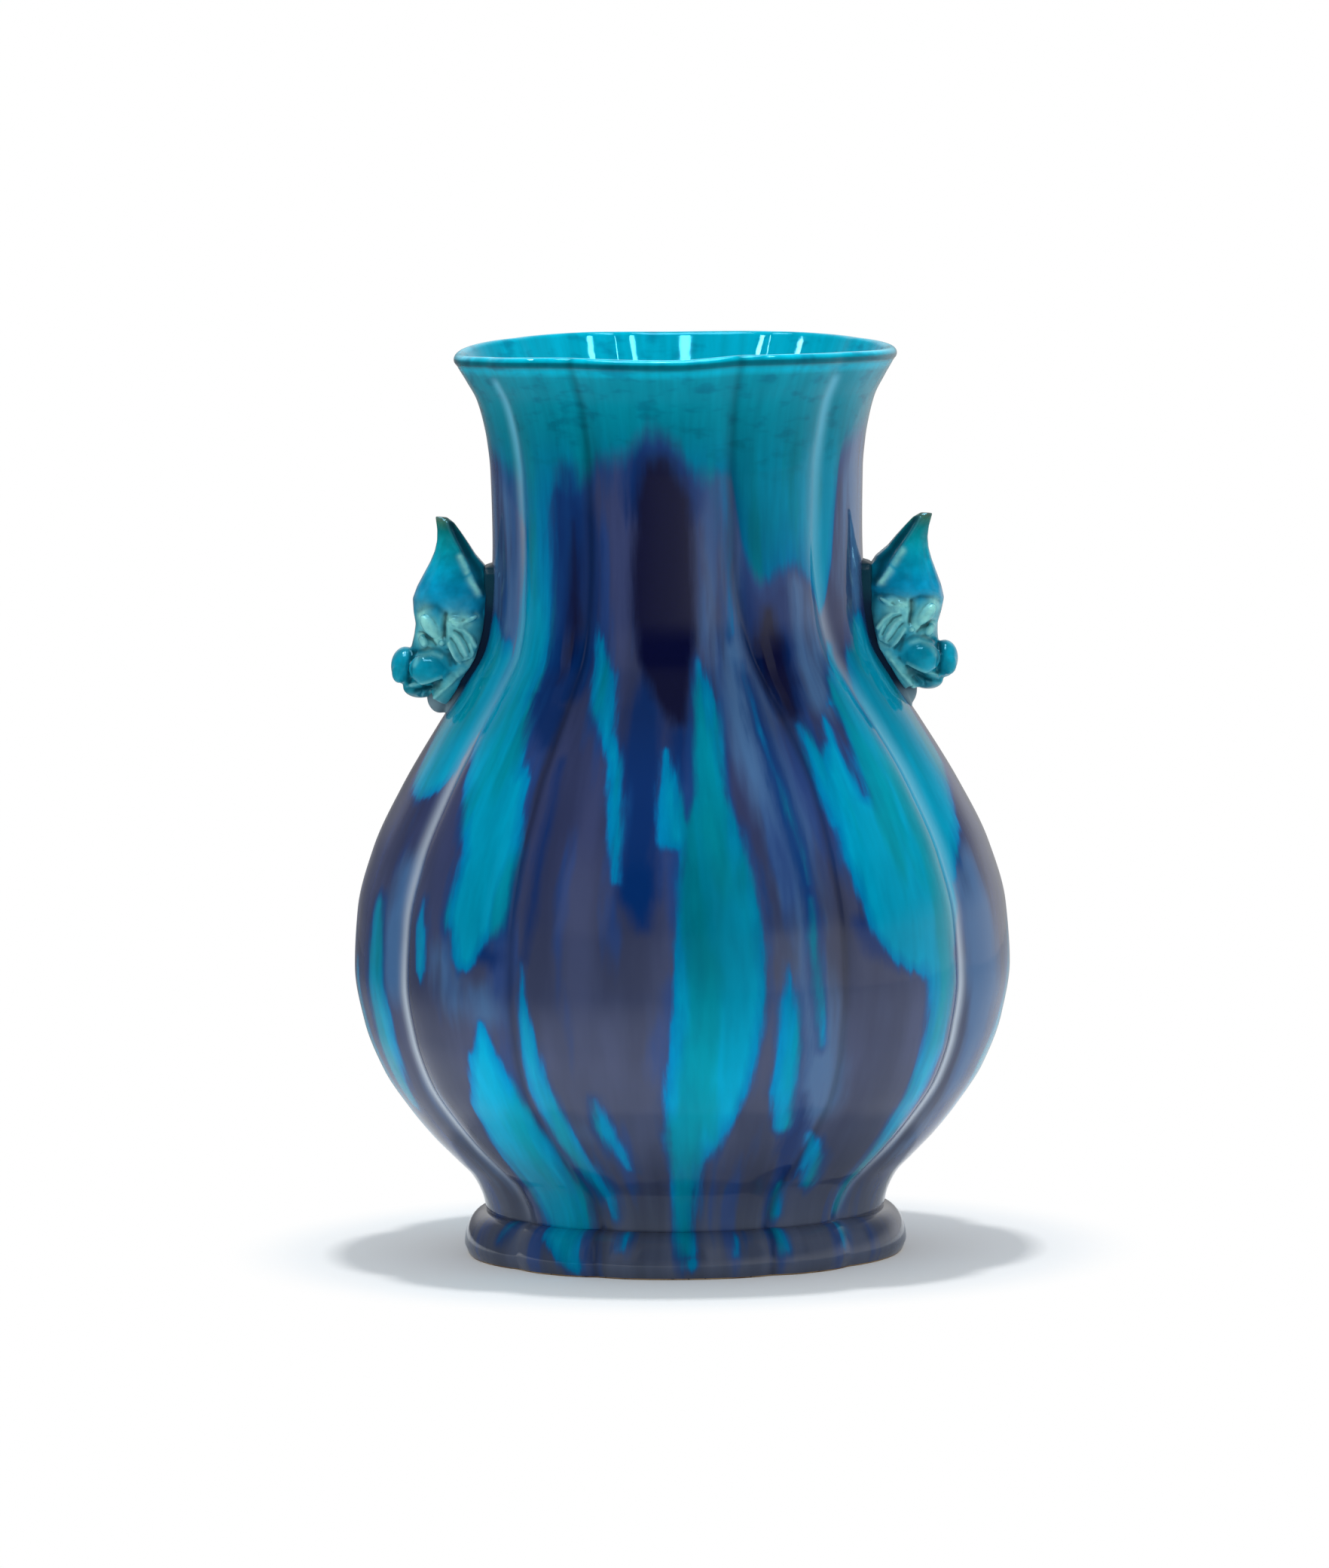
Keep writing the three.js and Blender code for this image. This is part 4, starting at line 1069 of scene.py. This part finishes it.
def makeMaskGlaze():  # clear turquoise glaze over carved clay: pale where it is thin, with painted highlights on the crest, dark where it gathers, with painted shade down the crest's neck side
    look = maskGlaze
    material, tree = newMaterial("turquoise_glaze_on_carved_clay")
    field = {name: addNode(tree, "Attribute", {"attribute_name": name}).outputs["Fac"]
             for name in ("pale", "deep", "hollow", "rise")}
    place = addNode(tree, "TexCoord").outputs["Object"]
    grain = addNode(tree, "TexNoise", None, {"Vector": place, "Scale": 420.0, "Detail": 3.0})
    blotches = addNode(tree, "TexNoise", None, {"Vector": place, "Scale": 190.0, "Detail": 3.0})
    low, high = look["byHeight"][0][0], look["byHeight"][-1][0]
    share = addNode(tree, "MapRange", None, {"Value": field["rise"], "From Min": low, "From Max": high})
    ramp = addNode(tree, "ValToRGB", None, {"Fac": share})
    setRamp(ramp, [((at - low) / (high - low), colour) for at, colour in look["byHeight"]])
    darkest, lightest = look["mottle"]
    mottle = addNode(tree, "MapRange", None, {"Value": blotches, "From Min": 0.32,
                     "From Max": 0.68, "To Min": darkest, "To Max": lightest})
    grainy = addNode(tree, "MapRange", None,
                     {"Value": grain, "From Min": 0.3, "From Max": 0.7, "To Min": 0.6, "To Max": 1.2})
    pale = addNode(tree, "Math", {"operation": "MULTIPLY", "use_clamp": True}, {0: grainy, 1: field["pale"]})
    pooled = addNode(tree, "MapRange", softStep, {"Value": field["hollow"],
                     "From Min": 0.05, "From Max": 0.55, "To Max": look["hollowDark"]})
    thin = addNode(tree, "MapRange", softStep, {"Value": field["hollow"],
                   "From Min": -0.2, "From Max": -0.75, "To Max": look["edgeLight"]})
    colour = addNode(tree, "VectorMath", scaleColour, {0: ramp, "Scale": mottle})
    for share, name in ((field["deep"], "deep"), (pale, "pale"), (pooled, "deep"), (thin, "paleCool")):
        colour = addNode(tree, "Mix", colourMix, {0: share, 6: colour, 7: look[name]}).outputs[2]
    shader = glazeShader(tree, look, colour)
    shader.inputs["Specular Tint"].default_value = linear(look["clearTint"])
    return material


stemGlaze = {
    "colour": "#102C48",
    "green": "#164A5A",
    "greenAmount": 0.8,
    # painted reflection of the floor on the stem's lower end
    "foot": "#7C98A4",
    "roughness": 0.3,
    "ior": 1.55,
    "gloss": 0.06,
}


def makeStemGlaze():  # the dark glaze of the vase run up against the turquoise of the mask, lighter at the lower end as painted reflection of the floor
    look = stemGlaze
    material, tree = newMaterial("dark_glaze_on_stems")
    rise = addNode(tree, "Attribute", {"attribute_name": "rise"}).outputs["Fac"]
    place = addNode(tree, "TexCoord").outputs["Object"]
    grain = addNode(tree, "TexNoise", None, {"Vector": place, "Scale": 160.0, "Detail": 3.0})
    wandering = addNode(tree, "Math", multiplyAdd, {0: grain, 1: 14.0, 2: rise})
    green = addNode(tree, "MapRange", softStep,
                    {"Value": wandering, "From Min": 14, "From Max": 24, "To Max": look["greenAmount"]})
    # painted reflection of the floor, fading in towards the lower end
    foot = addNode(tree, "MapRange", softStep, {"Value": rise, "From Min": -15, "From Max": -22})
    colour = look["colour"]
    for share, name in ((green, "green"), (foot, "foot")):
        colour = addNode(tree, "Mix", colourMix, {0: share, 6: colour, 7: look[name]}).outputs[2]
    shader = glazeShader(tree, look, colour)
    shader.inputs["Specular IOR Level"].default_value = look["gloss"]
    return material


maskPaint, stemPaint = makeMaskGlaze(), makeStemGlaze()
maskParts = ["head", "crest", "nose", "jaw", "brow_front", "brow_back", "ear_front", "ear_back", "mane_front",
             "mane_back"]
for side, seat in beastMask["seats"].items():
    mask = sculptMask(seat, side + "_mask")
    addPiece(side + "_beast_mask", mask, maskPaint, [side + "_" + part for part in maskParts])
    stem = sculptStem(seat, side + "_stem")
    addPiece(side + "_mask_stem", stem, stemPaint, [side + "_stem"])
    print("made", side, "mask", len(mask.polygons), len(stem.polygons))


# studio

studio = {
    # what the glaze reflects near the horizon: degrees from the front, and brightness
    "horizon": [(-180, 0.9), (-160, 0.8), (-140, 0.2), (-104, 0.03), (-59, 0.03), (-56, 0.3), (-29, 0.28),
                (-27.5, 0.01), (11, 0.01), (12.5, 0.36), (34, 0.32), (36, 0.04), (66, 0.04), (69, 0.2),
                (94, 0.2), (110, 0.06), (130, 0.2), (160, 0.8), (180, 0.9)],
    "overhead": 0.1,
    "overheadFrom": 0.5,            # height of the direction where the darker ceiling takes over
    "overheadTo": 0.85,
    "ambient": 0.66,
    "ambientTint": "#F6FCFF",
    "lamps": {  # place, size, radiance, and which rays see it
        "top_lamp": ((0, 0, 1.5), 0.12, 167.0, "diffuse"),
        "glint_softbox": ((-0.1, -0.1, 1.4), 0.85, 9.0, "glossy"),
        "sparkle_1": ((0.105, -0.052, 0.465), 0.018, 60.0, "glossy"),   # small lamps over the mouth
        "sparkle_2": ((-0.017, -0.093, 0.477), 0.018, 60.0, "glossy"),
        "sparkle_3": ((-0.155, 0.019, 0.442), 0.018, 60.0, "glossy")},
    "horizonGlow": (0.0, 0.3),      # heights of the direction where the far paper gives way to the room
    "floorRadius": 1.2,
    "floorWhite": 0.94,
    "floorGlow": 0.13,
    "floorClear": (0.12, 0.155),    # past these distances the paper is plain white to the camera
    "floorFade": (0.04, 0.6),       # reflected, the paper darkens as 0.1 m over the distance drops
    "floorFar": (0.1, 0.3, 0.8),    # how bright the far paper is on the left, in front and on the right
}

for name, (place, size, radiance, rays) in studio["lamps"].items():
    light = bpy.data.lights.new(name, "AREA")
    light.shape = "SQUARE"
    light.size = size
    light.energy = radiance * math.pi * size * size
    lamp = bpy.data.objects.new(name, light)
    bpy.context.scene.collection.objects.link(lamp)
    lamp.location = place
    lamp.visible_camera = False
    lamp.visible_diffuse = rays == "diffuse"
    lamp.visible_glossy = rays == "glossy"


def farPaper(tree, sideways):  # brightness of the far paper, from the sine of the direction's azimuth
    left, front, right = studio["floorFar"]
    share = addNode(tree, "MapRange", None, {"Value": sideways, "From Min": -1.0})
    ramp = addNode(tree, "ValToRGB", None, {"Fac": share})
    setRamp(ramp, [(0.0, left), (0.25, left), (0.5, front), (0.8, right)])
    return ramp


def makeRoom():  # white to the camera, even to matt surfaces, and bands of light and dark to the gloss
    world = bpy.data.worlds.new("studio")
    bpy.context.scene.world = world
    world.use_nodes = True
    tree = world.node_tree
    tree.nodes.clear()
    rays = addNode(tree, "LightPath").outputs
    direction = addNode(tree, "TexCoord").outputs["Generated"]
    x, y, z = addNode(tree, "SeparateXYZ", None, {"Vector": direction}).outputs
    towardsFront = addNode(tree, "Math", multiply, {0: y, 1: -1.0})
    azimuth = addNode(tree, "Math", {"operation": "ARCTAN2"}, {0: x, 1: towardsFront})
    share = addNode(tree, "MapRange", None, {"Value": azimuth, "From Min": -math.pi, "From Max": math.pi})
    bands = addNode(tree, "ValToRGB", None, {"Fac": share})
    setRamp(bands, [((degrees + 180) / 360, value) for degrees, value in studio["horizon"]])
    ceiling = addNode(tree, "MapRange", softStep,
                      {"Value": z, "From Min": studio["overheadFrom"], "From Max": studio["overheadTo"]})
    reflected = addNode(tree, "Mix", numberMix, {0: ceiling, 2: bands, 3: studio["overhead"]})
    low, high = studio["horizonGlow"]
    raised = addNode(tree, "MapRange", softStep, {"Value": z, "From Min": low, "From Max": high})
    room = addNode(tree, "Mix", numberMix, {0: raised, 2: farPaper(tree, x), 3: reflected})
    glossy = addNode(tree, "Mix", numberMix, {0: rays["Is Glossy Ray"], 2: studio["ambient"], 3: room})
    seen = addNode(tree, "Mix", numberMix, {0: rays["Is Camera Ray"], 2: glossy, 3: 1.0})
    cool = addNode(tree, "Mix", colourMix,
                   {0: rays["Is Diffuse Ray"], 6: "#FFFFFF", 7: studio["ambientTint"]}).outputs[2]
    background = addNode(tree, "Background", None, {"Color": cool, "Strength": seen})
    addNode(tree, "OutputWorld", None, {"Surface": background})


def makePaper():  # white paper, clear white behind the vase, and darker far off where the glaze mirrors it
    material, tree = newMaterial("white_paper_sweep")
    white = studio["floorWhite"]
    rays = addNode(tree, "LightPath").outputs
    place = addNode(tree, "TexCoord").outputs["Object"]
    away = addNode(tree, "VectorMath", {"operation": "LENGTH"}, {0: place}).outputs["Value"]
    x = addNode(tree, "SeparateXYZ", None, {"Vector": place}).outputs["X"]
    sideways = addNode(tree, "Math", divide, {0: x, 1: away})
    steepness = addNode(tree, "Math", divide, {0: 0.1, 1: away})
    low, high = studio["floorFade"]
    fade = addNode(tree, "MapRange", softStep, {"Value": steepness, "From Min": low,
                   "From Max": high, "To Min": farPaper(tree, sideways), "To Max": white})
    tint = addNode(tree, "Mix", numberMix, {0: rays["Is Glossy Ray"], 2: white, 3: fade})
    paper = addNode(tree, "BsdfDiffuse", None, {"Color": tint})
    glow = addNode(tree, "Emission", None, {"Color": (1, 1, 1, 1), "Strength": studio["floorGlow"]})
    lit = addNode(tree, "AddShader", None, {0: paper, 1: glow})
    plain = addNode(tree, "Emission", None, {"Color": (1, 1, 1, 1), "Strength": 1.0})
    low, high = studio["floorClear"]
    clear = addNode(tree, "MapRange", softStep, {"Value": away, "From Min": low, "From Max": high})
    shown = addNode(tree, "MixShader", None, {0: clear, 1: lit, 2: plain})
    mixed = addNode(tree, "MixShader", None, {0: rays["Is Camera Ray"], 1: paper, 2: shown})
    addNode(tree, "OutputMaterial", None, {"Surface": mixed})
    return material


makeRoom()
bm = bmesh.new()
bmesh.ops.create_circle(bm, cap_ends=True, segments=96, radius=studio["floorRadius"])
floorMesh = bpy.data.meshes.new("floor")
bm.to_mesh(floorMesh)
bm.free()
floorMesh.materials.append(makePaper())
floor = bpy.data.objects.new("floor", floorMesh)
bpy.context.scene.collection.objects.link(floor)
print("made studio")


# camera

view = {"place": (0, -4.0527, 0.5655), "target": (-0.0052, 0, 0.1552), "lens": 283.28, "roll": -0.0118}
cameraData = bpy.data.cameras.new("camera")
cameraData.lens = view["lens"]
cameraData.sensor_width = 36
cameraData.clip_end = 100
camera = bpy.data.objects.new("camera", cameraData)
bpy.context.scene.collection.objects.link(camera)
camera.location = view["place"]
camera.rotation_mode = "QUATERNION"
aim = (Vector(view["target"]) - Vector(view["place"])).to_track_quat("-Z", "Y")
camera.rotation_quaternion = aim @ Matrix.Rotation(view["roll"], 4, "Z").to_quaternion()
bpy.context.scene.camera = camera
bpy.context.scene.view_settings.view_transform = "Standard"
